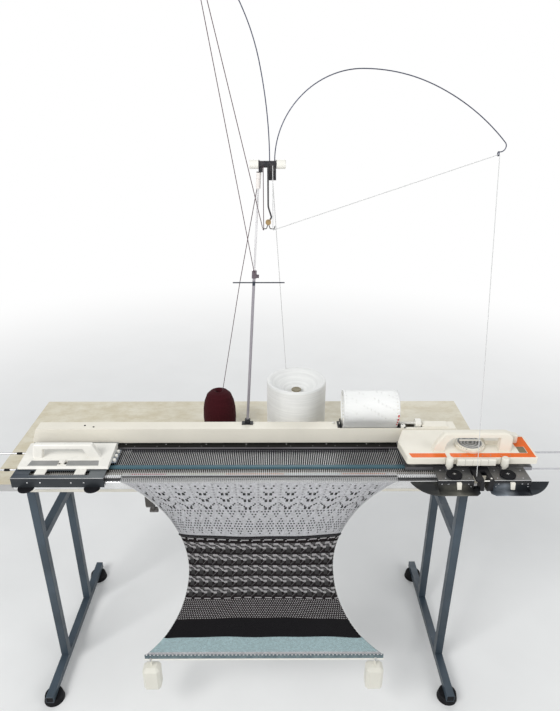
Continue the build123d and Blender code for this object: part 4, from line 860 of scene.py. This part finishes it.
def eyelets():
    """The lace's holes, as (half stitch, row) of a corner with the width and height in the same units."""
    fans = [FAN_FIRST + FAN_STITCHES * count for count in range(-1, 13)]
    leaves = [LEAF_FIRST + LEAF_STITCHES * count for count in range(-1, 22)]
    small, large = (2, 1), (3, 2)
    spots = []
    for middle in fans:
        for away, row, size in ((2.6, 3, small), (1.4, 5, small), (2.5, 8, small), (1.2, 9, large),
                                (3.9, 12, small), (2.7, 13, small), (1.1, 14, large), (4.6, 17, small),
                                (3.3, 18, small), (2.1, 19, small), (1.1, 20, large)):
            spots += [(middle - away, row, size), (middle + away, row, size)]
    for middle in leaves:
        for row, places in ((23, (-2, 0, 2)), (25, (-1, 1)), (27, (0,))):
            spots += [(middle + place, row, small) for place in places]
        for row, places in ((29, (0,)), (31, (-1, 1)), (33, (-2, 0, 2)), (35, (-3, -1, 1)), (37, (-2, 0, 2)),
                            (39, (-1, 1)), (41, (0,))):
            spots += [(middle + LEAF_STITCHES / 2 + place, row, small) for place in places]
    holes = {}
    for place, row, (wide, high) in spots:
        corner = round(2 * place - wide / 2)
        if 5 < corner < 2 * STITCHES - 8:
            holes[corner, row] = (wide, high)
    return holes


def feather(place, step):
    """Where the light strands, the half-tone and the faint tone lie in one repeat of the two-colour pattern."""
    strand = np.maximum(0, (place - 3) * 0.75)
    lit = (step >= strand - 0.3) & (step < strand + 1.1)
    lit |= (step >= 4) & (step < 6) & (place < 3)
    tick = (step >= 6) & (step < 10) & ((place + step) % FEATHER_STITCHES == 7)
    half_tone = (step < 5) & ~((place - 2 * step) % 5 == 4)
    faint = (step >= 5) & (step < 9) & (place >= 3) & (place <= 6)
    return lit, (half_tone | tick) & ~lit, faint & ~lit & ~tick


def stitch_tones():
    """A colour for every stitch, from lace at the top to the hem."""
    rows, stitches = np.mgrid[0:ROWS, 0:STITCHES]
    lace = np.array((0.72, 0.72, 0.735))
    light = np.array((0.60, 0.58, 0.58))
    dark = np.array((0.014, 0.009, 0.010))
    black = np.array((0.005, 0.004, 0.006))
    pale_blue = np.array((0.52, 0.69, 0.71))
    tones = np.empty((ROWS, STITCHES, 3))
    tones[:] = lace

    def span(first, last):
        return (rows >= first) & (rows < last)

    axis = (stitches - round(FAN_FIRST + FAN_STITCHES / 2)) % FAN_STITCHES == 0
    tones[axis & span(2, 24) & (rows % 2 == 0)] = lace * 0.6
    tones[span(LACE_ROWS, DARK_ROWS)] = dark
    tones[span(LACE_ROWS, LINE_ROWS - 1)] = black
    tones[span(BIRDSEYE_ROWS, DARK_ROWS)] = black
    place = stitches % FEATHER_STITCHES
    lit, half_tone, faint = feather(place, (rows - LINE_ROWS - 3) % FEATHER_ROWS)
    patterned = span(LINE_ROWS + 2, FAIR_ISLE_ROWS - 3)
    tones[faint & patterned] = light * 0.11
    tones[half_tone & patterned] = light * 0.25
    tones[lit & patterned] = light
    dash = ((rows == LINE_ROWS - 1) | (rows == FAIR_ISLE_ROWS - 2)) & (place > 0) & (place < 7)
    tones[dash | ((rows == LINE_ROWS) & (place == 0))] = light
    dots = (rows % 2 == 0) & ((stitches + rows // 2) % 2 == 0)
    tones[dots & span(FAIR_ISLE_ROWS, BIRDSEYE_ROWS)] = light * 0.9
    tones[span(DARK_ROWS, HEM_ROWS)] = pale_blue
    tones[rows >= HEM_ROWS] = lace
    return tones * RNG.uniform(0.86, 1.1, (ROWS, STITCHES, 1))


def fabric_points(columns):
    """The sheet's grid of points, in table millimetres: drawn in at the waist, sagging a little in each row."""
    across = np.linspace(0, 1, columns)[None, :]
    down = np.linspace(0, 1, ROWS + 1)[:, None]
    straight_z = FABRIC_TOP + (HEM_Z - FABRIC_TOP) * down
    knots = np.array((0.0, 0.07, 0.23, 0.27, 0.33, 0.62, 0.77, 0.9, 1.0))
    sag = np.interp(down[:, 0], knots, (0.0, 1.5, 9.1, 11.0, 8.1, 0.0, -8.0, -4.0, 0.0))[:, None]
    crowd = np.interp(down[:, 0], knots, (0.0, 0.12, 0.22, 0.17, 0.06, 0.04, 0.03, 0.02, 0.0))[:, None]
    turn = 2 * across - 1
    z = straight_z - sag * (1 - turn ** 2)
    x0 = edge_x(z, LEFT_EDGE)
    x1 = edge_x(z, RIGHT_EDGE)
    x = (x0 + x1) / 2 + (x1 - x0) / 2 * turn * (1 + crowd * (1 - turn ** 4))
    free = np.clip((34 - z) / 80, 0, 1) * np.clip((z - HEM_Z) / 60, 0, 1)
    swell = np.sin(x / 47 + 0.6) * np.sin(z / 90 + 1.0) + 0.5 * np.sin(x / 21 - z / 60)
    rib = np.where(np.arange(columns) % 2 == 1, 0.3, 0.0)[None, :]
    side = np.minimum(across, 1 - across) * STITCHES
    curl = np.clip(1 - side / 3.5, 0, 1) ** 2 * 3.0
    y = FABRIC_FRONT_Y - rib - free * (1.6 + 1.6 * swell) + curl * free
    return np.stack((x, y, z), axis=2)


def stitched(grid):
    """Faces over the grid, two to a stitch where it is patterned, with the lace's eyelets as funnels of painted shade
    round small openings.
    """
    columns = grid.shape[1]
    points = list(grid.reshape(-1, 3))
    places = [(column / 2, -row) for row in range(ROWS + 1) for column in range(columns)]
    tones = stitch_tones()
    holes = eyelets()
    inside = {(half + across, row + down) for (half, row), (wide, high) in holes.items()
              for across in range(wide) for down in range(high)}
    faces, colours = [], []
    for row in range(ROWS):
        step = 1 if row < FAIR_ISLE_ROWS else 2
        for half in range(0, 2 * STITCHES, step):
            left = row * columns + half
            tone = tones[row, half // 2]
            if (half, row) in holes:
                wide, high = holes[half, row]
                rim = [left + down * columns for down in range(high)]
                rim += [left + high * columns + along for along in range(wide)]
                rim += [left + (high - down) * columns + wide for down in range(high)]
                rim += [left + wide - along for along in range(wide)]
                middle = sum(points[index] for index in rim) / len(rim)
                heart = (half / 2 + wide / 4, -row - high / 2)
                inner = []
                for index in rim:
                    inner.append(len(points))
                    points.append(middle + (points[index] - middle) * EYELET_SHARE + (0.0, 0.5, 0.0))
                    places.append(tuple(h + (p - h) * EYELET_SHARE for p, h in zip(places[index], heart)))
                # The funnel round each opening is coloured as painted shade, so the eyelet reads as a dark hole.
                for side in range(len(rim)):
                    after = (side + 1) % len(rim)
                    faces.append((rim[side], rim[after], inner[after], inner[side]))
                    colours.append(tone * EYELET_PAINTED_SHADE)
            elif (half, row) in inside:
                continue
            elif row == FAIR_ISLE_ROWS:
                faces.append((left, left + columns, left + columns + 2, left + 2, left + 1))
                colours.append(tone)
            else:
                faces.append((left, left + columns, left + columns + step, left + step))
                colours.append(tone)
    return points, places, faces, colours


def hanging_sheet():
    """The knitting in progress as one hanging sheet."""
    grid = fabric_points(2 * STITCHES + 1)
    points, places, faces, colours = stitched(grid)
    used = sorted({index for face in faces for index in face})
    renumber = {index: count for count, index in enumerate(used)}
    shape = metres([points[index] for index in used])
    kept = [tuple(renumber[index] for index in face) for face in faces]
    obj = mesh_object("knitting_in_progress", shape, kept, 180.0)
    mesh = obj.data
    colour = mesh.color_attributes.new("stitch_colour", "FLOAT_COLOR", "CORNER")
    counts = [len(face) for face in faces]
    per_face = np.concatenate((np.array(colours), np.ones((len(faces), 1))), axis=1)
    colour.data.foreach_set("color", np.repeat(per_face, counts, axis=0).ravel())
    uv = mesh.uv_layers.new(name="stitches")
    corners = np.array([places[index] for face in faces for index in face], float)
    uv.data.foreach_set("uv", corners.ravel())
    thick = obj.modifiers.new("thickness", "SOLIDIFY")
    thick.thickness = FABRIC_THICK / 1000
    thick.offset = -1.0
    thick.use_rim = True
    obj.data.materials.append(looks["knitting"])
    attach(obj, "machine")
    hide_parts("knitted_fabric")
    sheet_edges(grid)


def sheet_edges(grid):
    """The thick edge stitches at both sides, and the purled ridge between the lace and the pattern."""
    rims = []
    for side in (0, -1):
        line = grid[:DARK_ROWS, side] + (0.0, -0.6, 0.0)
        steps = np.arange(len(line))
        radius = np.where(steps < LACE_ROWS, 1.0, 0.5 + 0.75 * (steps % 3 == 1))
        radius = np.where((steps > LACE_ROWS - 2) & (steps < LINE_ROWS), 0.3, radius)
        rims.append(tube(line, radius, 6))
    piece("knitting_edges", joined(rims), "machine", "white_wool")
    band = grid[LACE_ROWS + 1, ::2] + (0.0, -1.2, 0.0)
    beads = 2.1 + 0.3 * np.sin(np.arange(len(band)) * 1.7)
    piece("knitting_ridge", joined([tube(band, beads, 8)]), "machine", "black_wool")


def slot_centres():
    first = -(NEEDLE_COUNT - 1) / 2 * NEEDLE_PITCH
    return [first + NEEDLE_PITCH * count for count in range(NEEDLE_COUNT)]


def needle_shape(x, tip):
    """A latch needle: stem, butt, hook, open latch and its rivet."""
    tail = tip + NEEDLE_LENGTH
    stem = slab(x - 0.65, x + 0.65, tip + 9, tail, 56.2, 61.2)
    butt = slab(x - 0.65, x + 0.65, tail - 3, tail, 61.2, BUTT_TOP - 0.6)
    crown = slab(x - 0.5, x + 0.5, tail - 2.6, tail - 0.4, BUTT_TOP - 0.6, BUTT_TOP)
    hook = tube([(x, tip + 9.5, 57.3), (x, tip + 4, 57.1), (x, tip + 1.2, 57.2), (x, tip + 0.4, 57.9),
                 (x, tip + 0.5, 58.9), (x, tip + 1.4, 59.5), (x, tip + 3.4, 59.2)],
                (0.9, 0.55, 0.5, 0.5, 0.5, 0.45, 0.25), 5)
    latch = tube([(x, tip + 10, 58.5), (x, tip + 13, 58.9), (x, tip + 16.5, 59.2)], (0.3, 0.32, 0.5), 4)
    rivet = turned(((0.5, -0.65), (0.5, 0.65)), (x, tip + 10.2, 58.0), 6, "x")
    return joined((stem, butt, crown, hook, latch, rivet))


def needle_groups():
    centres = slot_centres()
    working = [x for x in centres if WORKING_LEFT_X < x < WORKING_RIGHT_X]
    idle = [x for x in centres if x not in working]
    for group, places, tip in (("working", working, NEEDLE_TIP_Y), ("idle", idle, NEEDLE_TIP_Y + IDLE_SETBACK)):
        piece(f"{group}_needles_detailed", joined([needle_shape(x, tip) for x in places]), f"{group}_needle_group",
              "needle_steel", replaces=[f"{group}_needles"])
    loops = []
    for x in working:
        side = [(1.4, -67.6, 54.0), (1.4, -67.4, 57.0), (1.4, -65.4, 60.4), (1.4, -62.0, 61.6), (1.25, -59.4, 62.0)]
        left = [(x - away, y, z) for away, y, z in side]
        right = [(x + away, y, z) for away, y, z in reversed(side)]
        loops.append(tube(left + [(x, -58.2, 62.2)] + right, 0.62, 5))
    piece("needle_loops", joined(loops), "machine", "white_wool")


# Yarn packages


def wound_body(name, profile, centre, sides, levels, pitch, depth, look, node):
    """A turned form whose skin is laid with crossing threads; profile is (radius, height) pairs."""
    skin, along = resampled(np.array(profile, float), levels)
    radius, height = skin.T
    lie = along[:, None]
    turn = (np.arange(sides) * 2 * np.pi / sides)[None, :]
    one = np.abs(np.sin(lie * math.pi / pitch + 3 * turn))
    two = np.abs(np.sin(lie * math.pi / (pitch * 1.13) - 4 * turn))
    bump = depth * np.maximum(one, two) * np.clip(radius / 12, 0, 1)[:, None]
    normal = np.stack((np.gradient(height), -np.gradient(radius)), 1)
    normal /= np.maximum(np.linalg.norm(normal, axis=1), 1e-6)[:, None]
    r = radius[:, None] + (bump - depth) * normal[:, :1]
    h = height[:, None] + (bump - depth) * normal[:, 1:]
    points = np.stack((r * np.cos(turn), r * np.sin(turn), np.broadcast_to(h, r.shape)), 2).reshape(-1, 3)
    shape = (points + np.array(centre), ring_faces(levels, sides))
    return piece(name, shape, "machine", look, replaces=[node])


def packages():
    white_profile = ((2, 0.3), (74, 0.3), (78, 4), (79, 16), (79, 158), (77.5, 162.5), (75, 163.7), (70, 162),
                     (14, 121), (13.2, 119))
    wound_body("white_winding", white_profile, WHITE_PLACE, 220, 210, 3.2, 0.4, "white_winding",
               "white_yarn_package")
    core = turned(((9.6, 104), (12.4, 104), (12.4, 133), (11.6, 134), (10.4, 134), (9.6, 133), (9.6, 106)),
                  WHITE_PLACE, 40)
    piece("package_core", core, "machine", "white_plastic")
    rim = turned(((10.2, 131.5), (12.9, 131.5), (13.1, 133.6), (12.2, 134.6), (10.4, 134.4)), WHITE_PLACE, 40)
    piece("package_core_rim", rim, "machine", "olive_print")
    dark_profile = ((2, 0.3), (36, 0.3), (39.5, 3), (42.5, 25), (44.5, 52), (43.5, 78), (40, 99), (33, 118),
                    (24, 127), (13, 131), (8, 128), (5, 122))
    wound_body("dark_winding", dark_profile, DARK_PLACE, 160, 150, 3.0, 0.7, "dark_winding",
               "dark_yarn_cake")


# Punch card


def card_path(count):
    """The card loop in (y, z): round the drum below and the wide bulge above, with both tangents."""
    drum, bulge = np.array(CARD_DRUM), np.array(CARD_BULGE)
    way = bulge - drum
    distance = np.linalg.norm(way)
    heading = math.atan2(way[1], way[0])
    lean = math.acos((CARD_DRUM_RADIUS - CARD_BULGE_RADIUS) / distance)
    loop = []
    for centre, radius, first, last, steps in (
            (bulge, CARD_BULGE_RADIUS, heading - lean, heading + lean, 90),
            (drum, CARD_DRUM_RADIUS, heading + lean, heading - lean + 2 * math.pi, 40)):
        for step in np.linspace(first, last, steps):
            loop.append(centre + radius * np.array((math.cos(step), math.sin(step))))
    return resampled(np.array(loop + [loop[0]]), count + 1)[0][:-1]


def card_patch(line, x0, x1, z0, z1):
    """A thin printed patch that lies on the card's front between two heights."""
    front = [place for place in line if z0 <= place[1] <= z1 and place[0] < 108.0]
    front.sort(key=lambda place: place[1])
    points = []
    for y, z in front:
        points += [(x0, y - 0.4, z - 0.1), (x1, y - 0.4, z - 0.1), (x1, y - 0.6, z - 0.2), (x0, y - 0.6, z - 0.2)]
    return np.array(points), ring_faces(len(front), 4)


def punch_card():
    """The card with its punched holes, its sprocket holes and the snaps at its join."""
    levels, holes_across = 120, 24
    margin, sprocket_outer, sprocket_inner = 14.0, 5.0, 7.0
    pitch = (CARD_X1 - CARD_X0 - 2 * margin) / holes_across
    line = card_path(levels)
    rows, columns = np.mgrid[0:levels // 2, 0:holes_across]
    motif = ((columns - 2 * (rows % 7)) % 12 == 3) & (RNG.random(rows.shape) < 0.75)
    cuts = []
    for count in range(holes_across):
        left = CARD_X0 + margin + pitch * count
        cuts += [left, left + 0.3 * pitch, left + 0.7 * pitch]
    xs = [CARD_X0, CARD_X0 + sprocket_outer, CARD_X0 + sprocket_inner] + cuts
    xs += [CARD_X1 - inset for inset in (margin, sprocket_inner, sprocket_outer, 0)]
    points = [(x, line[level][0], line[level][1]) for level in range(levels) for x in xs]
    faces = []
    wide = len(xs)
    for level in range(levels):
        after = (level + 1) % levels
        for column in range(wide - 1):
            punched = 3 <= column < 3 + 3 * holes_across and (column - 3) % 3 == 1
            if punched and level % 2 == 0 and motif[level // 2, (column - 3) // 3]:
                continue
            if column in (1, wide - 3) and level % 4 == 0:
                continue
            faces.append((level * wide + column, level * wide + column + 1, after * wide + column + 1,
                          after * wide + column))
    card = piece("punch_card_loop", (np.array(points), faces), "machine", "card_plastic",
                 replaces=["punch_card"])
    thick = card.modifiers.new("thickness", "SOLIDIFY")
    thick.thickness = 0.0005
    thick.offset = 0.0
    snaps = [turned(((1.7, 0.0), (1.6, -0.5), (0.8, -0.8)), (x, CARD_SNAP_Y, CARD_SNAP_Z), 12, "y")
             for x in (251, 262, 315, 367)]
    piece("card_snaps", joined(snaps), "machine", "dark_plastic")
    dashes = [card_patch(line, 371.6, 374.8, low, low + 8.5) for low in (109.0, 119.5, 130.0, 140.5)]
    piece("card_red_print", joined(dashes), "machine", "red_print")


def reader_trim():
    """The small boss beside the card with its catch, and the stud and screws on the cover."""
    boss = prism(((385, 90), (397, 90), (397, 99), (394, 103.5), (388, 103.5), (385, 99)), COVER_TOP, 106.5)
    piece("reader_boss", boss, "machine", "white_plastic", bevel=1.2)
    marks = [prism(((387.5, 102.0), (386.5, 101.0), (391.0, 96.0), (392.0, 97.0)), 106.4, 106.8),
             slab(393.6, 396.4, 89.5, 90.2, 100.6, 104.6), slab(395.6, 397.4, 89.6, 92.5, 103.5, 106.0)]
    piece("reader_catch", joined(marks), "machine", "dark_plastic")
    stud = turned(((4.0, COVER_TOP), (4.0, 101.5), (3.0, 102.6), (0.8, 103.0)), (218.8, 117.0, 0), 20)
    piece("cover_stud", stud, "machine", "white_plastic")
    screws = [screw_head((-405.6, 106.4, 100.0), 2.4, "z"), screw_head((-382.2, 100.0, 100.0), 2.2, "z")]
    piece("cover_screws", joined(screws), "machine", "dark_plastic")


# Trim


def screw_head(centre, radius, axis, out=1.0):
    """A domed screw head standing out along an axis."""
    profile = ((radius, 0.0), (radius, 0.35 * radius * out), (0.82 * radius, 0.62 * radius * out),
               (0.45 * radius, 0.8 * radius * out), (0.1 * radius, 0.82 * radius * out))
    if out < 0:
        profile = profile[::-1]
    return turned(profile, centre, 14, axis)


def k_trim():
    """Prints, marks, rivets and small fittings of the main carriage, its sinker plate and its dial, and thin dark
    sheets of painted shade between its buttons.
    """
    top = K_TOP + 0.15
    low = K_TOP - 0.1
    bands = [prism(((385, -39.2), (465, -39.2), (465, -22.8), (381, -22.8)), low, top),
             prism(((475, -39.2), (669.5, -39.2), (669.5, 47), (637, 47), (637, 4), (657, 4), (657, -22.8),
                    (475, -22.8)), low, top)]
    piece("k_orange_bands", joined(bands), "k_carriage", "orange_print")
    panel = prism(((638, -21.5), (656, -21.5), (656, 3.5), (638, 3.5)), low, top)
    piece("k_olive_panel", panel, "k_carriage", "olive_print")
    marks = [slab(x - 1.6, x + 1.6, -33, -31.4, top, top + 0.05) for x in (497, 514, 532, 549, 567, 592, 612)]
    marks += [slab(x - 0.5, x + 0.5, -30.6, -27.5, top, top + 0.05) for x in (500, 535, 569)]
    piece("k_grey_marks", joined(marks), "k_carriage", "grey_print")
    # Painted shade: thin dark sheets stand in the spaces between the buttons.
    gaps = [slab(x - 0.55, x + 0.55, -47.4, -36.0, 84.0, 99.0) for x in (505.6, 523.2, 540.8, 558.4)]
    piece("button_gap_shade", joined(gaps), "k_carriage", "dark_plastic")
    rivets = [screw_head((x, SINKER_FRONT_Y, z), 1.5, "y", -1.0) for x, z in
              ((446, 62), (461, 62), (506, 62), (573, 62), (626, 62), (639, 62), (512, 55), (568, 55), (640, 55))]
    rivets += [screw_head((x, y, 72.0), 1.5, "z") for x, y in
               ((450, -48), (503, -48), (455, -78), (508, -78), (575, -48), (634, -48), (572, -78), (630, -78))]
    piece("sinker_rivets", joined(rivets), "k_carriage", "steel")
    edges = [slab(x0, x1, SINKER_FRONT_Y - 0.25, SINKER_FRONT_Y + 0.25, 71.2, 72.25)
             for x0, x1 in ((437, 518), (562, 646))]
    piece("sinker_bright_edges", joined(edges), "k_carriage", "bright_steel")
    for name, x in (("left", 477.5), ("right", 598.6)):
        cross = joined((slab(x - 4.5, x + 4.5, DISC_Y - 0.5, DISC_Y + 0.5, 76.0, 76.3),
                        slab(x - 0.5, x + 0.5, DISC_Y - 4, DISC_Y + 4, 76.0, 76.3),
                        turned(((2.2, 76.0), (2.0, 77.0), (0.7, 77.3)), (x, DISC_Y, 0), 16)))
        piece(f"brush_disc_mark_{name}", cross, f"brush_disc_{name}_body", "bright_steel")
    pin = turned(((2.3, 0.0), (2.3, 6.2), (1.2, 6.6)), (555, SINKER_FRONT_Y, 71.4), 12)
    piece("feeder_inserts", joined((slab(537.5, 549.5, -92.4, -92.0, 73.4, 76.4), pin)), "k_carriage", "white_plastic")
    backing = [slab(x0, x1, -62, -46, *levels) for x0, x1, levels in
               ((518.2, 561.8, (67.6, 68.4)), (518.2, 519.2, (68.4, 70.2)), (560.8, 561.8, (68.4, 70.2)))]
    piece("feeder_backing", joined(backing), "k_carriage", "dark_plastic")
    grip = slab(DIAL_X - 25, DIAL_X + 25, 5.6, 12.4, 116.8, 117.45)
    piece("dial_grip_cap", grip, "k_tension_dial_body", "button_plastic", bevel=0.3)
    ticks = []
    for step in range(31):
        angle = math.radians(-150 + 10 * step + 90)
        inner, outer = (29.6, 32.9) if step % 3 == 0 else (30.8, 32.9)
        way = np.array((math.cos(angle), math.sin(angle)))
        across = np.array((-way[1], way[0])) * 0.3
        middle = np.array((DIAL_X, DIAL_Y))
        corners = ((inner, -1), (outer, -1), (outer, 1), (inner, 1))
        ticks.append(prism([tuple(middle + way * reach + across * side) for reach, side in corners], 109.2, 109.4))
    piece("dial_ticks", joined(ticks), "k_tension_dial_body", "black_print")


def l_trim():
    """Strip, rivets, bright edge and guide studs of the lace carriage."""
    def slope(y):
        return 78.0 + (y + 38.0) * 8.0 / 86.0

    def panel(outline, lift):
        low, faces = prism(outline, 0.0, lift)
        low[:, 2] += slope(low[:, 1])
        return low, faces

    strip = joined((panel(((-500, -35), (-431.5, -35), (-431.5, -17), (-496, -17)), 0.15),
                    panel(((-410.5, -35), (-336, -35), (-339, -17), (-410.5, -17)), 0.15)))
    piece("l_grey_strip", strip, "l_carriage", "grey_print")
    rivets = [screw_head((x, L_FRONT_Y, 58.0), 1.8, "y", -1.0) for x in (-489, -460, -390, -361)]
    piece("l_rivets", joined(rivets), "l_carriage", "bright_steel")
    edge = slab(-526, -316, L_FRONT_Y - 0.3, L_FRONT_Y + 0.4, 69.3, 70.3)
    piece("l_bright_edge", edge, "l_carriage", "bright_steel")
    studs = [turned(((4.2, 70.0), (4.2, 74.0), (3.4, 75.5), (1.0, 76.0)), (L_STUD_X, y, 0), 20)
             for y in (32.0, 14.0, -4.0)]
    tab = slab(-317, -302, -12, 44, 68.2, 70.0)
    piece("l_guide_studs", joined(studs), "l_carriage", "white_plastic")
    piece("l_guide_tab", tab, "l_carriage", "blue_steel", bevel=0.4)


def bed_trim():
    """Small screws in the channel behind the bed and on the rear rail, and the sleeves on the rods' ends."""
    screws = [screw_head((x, 79.0, 62.0), 1.6, "z") for x in range(-400, 401, 100)]
    screws += [screw_head((x, 64.5, 65.3), 1.2, "z") for x in range(-440, 441, 55)]
    piece("bed_screws", joined(screws), "machine", "grey_print")
    sleeves = [tube([(x0 + step, y, ROD_Z) for step in (0, 1, 12, 13)], (2.6, 3.2, 3.2, 2.6), 16)
               for x0, y in ((-560.0, ROD_REAR_Y), (-562.0, ROD_FRONT_Y))]
    piece("rail_sleeves", joined(sleeves), "machine", "black_rubber")


def stand_trim():
    """Plastic plugs in the foot bars' ends and bolts where the legs meet them."""
    plugs, bolts = [], []
    for side in (-1, 1):
        x = side * LEG_X
        for y, out in ((-44, -1), (482, 1)):
            ends = sorted((y, y - out * 4))
            plugs.append(slab(x - 9.2, x + 9.2, *ends, -726.2, -707.8))
        for y in (106, 327.5):
            bolts.append(screw_head((x + side * 11, y, -270.0), 4.5, "x", side))
            bolts.append(screw_head((x + side * 11, y, -255.0), 3.0, "x", side))
    piece("foot_plugs", joined(plugs), "machine", "black_rubber", bevel=1.0)
    piece("leg_bolts", joined(bolts), "machine", "steel")


def weight_hooks():
    """The bent steel hook that carries each weight on the comb's rod."""
    for name, x in (("left", -262.0), ("right", 339.0)):
        line = [(x, COMB_ROD_Y, COMB_ROD_Z - 22), (x, COMB_ROD_Y, COMB_ROD_Z - 13)]
        for step in range(-80, 200, 20):
            angle = math.radians(step)
            line.append((x, COMB_ROD_Y + 6.8 * math.cos(angle), COMB_ROD_Z + 6.8 * math.sin(angle)))
        shape = tube(line, 1.3, 8)
        piece(f"weight_hook_{name}", shape, f"claw_weight_{name}_body", "steel")


# Stage


def floor_look():
    """A white floor that fades into the white surroundings."""
    look = Finish("floor", 0.9, Specular_IOR_Level=0.1)
    cloud = look.noise(3.0, 4.0)
    look.colour(look.fade(cloud, 0.3, 0.7, (0.80, 0.80, 0.79), (0.84, 0.84, 0.83)))
    look.bump(look.noise(60.0, 3.0), 0.2)
    x, y = look.parts()[:2]
    radius = look.root(look.plus(look.power(x, 2.0), look.power(y, 2.0)))
    far = look.add("ShaderNodeMapRange", radius, 1.2, 4.0, 0.0, 1.0, interpolation_type="SMOOTHSTEP").outputs[0]
    glow = look.add("ShaderNodeEmission", (1.0, 1.0, 1.0, 1.0), 1.0).outputs[0]
    blend = look.add("ShaderNodeMixShader", far, look.shader.outputs[0], glow)
    look.feed(look.tree.nodes["Material Output"].inputs["Surface"], blend.outputs[0])
    return look.material


def lamp(name, place, target, size, energy):
    light = bpy.data.lights.new(name, "AREA")
    light.shape = "SQUARE"
    light.size = size
    light.energy = energy
    obj = new_object(name, light)
    obj.location = place
    obj.rotation_euler = (Vector(target) - Vector(place)).to_track_quat("-Z", "Y").to_euler()


def stage():
    corners = [(x * FLOOR_REACH, y * FLOOR_REACH, 0) for x, y in ((-1, -1), (1, -1), (1, 1), (-1, 1))]
    floor = mesh_object("floor", corners, [(0, 1, 2, 3)])
    floor.data.materials.append(floor_look())
    lamp("key", (-2.2, -2.6, 3.4), (0.0, 0.0, 0.8), 1.8, 105)
    lamp("fill", (2.8, -2.0, 2.2), (0.0, 0.0, 0.8), 2.4, 34)
    lamp("back", (0.6, 2.8, 3.0), (0.0, 0.0, 0.9), 2.0, 30)
    surroundings()
    aim_camera()
    bpy.context.scene.view_settings.view_transform = "Standard"


def surroundings():
    """White where the camera looks past the object, a softer bluish light everywhere else."""
    world = bpy.data.worlds.new("studio")
    bpy.context.scene.world = world
    world.use_nodes = True
    sky = Nodes(world.node_tree)
    soft = sky.tree.nodes["Background"]
    soft.inputs["Color"].default_value = (0.94, 0.97, 1.0, 1.0)
    soft.inputs["Strength"].default_value = 0.5
    white = sky.add("ShaderNodeBackground", (1.0, 1.0, 1.0, 1.0), 1.0)
    rays = sky.add("ShaderNodeLightPath").outputs
    seen = sky.add("ShaderNodeMath", rays["Is Camera Ray"], rays["Is Transmission Ray"], operation="MAXIMUM")
    choose = sky.add("ShaderNodeMixShader", seen.outputs[0], soft.outputs[0], white.outputs[0])
    sky.feed(sky.tree.nodes["World Output"].inputs["Surface"], choose.outputs[0])


def aim_camera():
    """The photograph's own viewpoint."""
    data = bpy.data.cameras.new("camera")
    data.sensor_width = SENSOR
    data.lens = FOCAL_PIXELS * SENSOR / IMAGE_HEIGHT
    data.shift_x = (IMAGE_WIDTH / 2 - PRINCIPAL_X) / IMAGE_HEIGHT
    data.clip_end = 100.0
    camera = new_object("camera", data)
    camera.location = at(*CAMERA_PLACE)
    camera.rotation_euler = (math.radians(90 - CAMERA_PITCH), 0.0, math.radians(-CAMERA_YAW))
    bpy.context.scene.camera = camera


dress_cad_nodes()
yarns()
needle_groups()
hanging_sheet()
packages()
punch_card()
reader_trim()
k_trim()
l_trim()
bed_trim()
stand_trim()
weight_hooks()
stage()

bpy.context.view_layer.update()
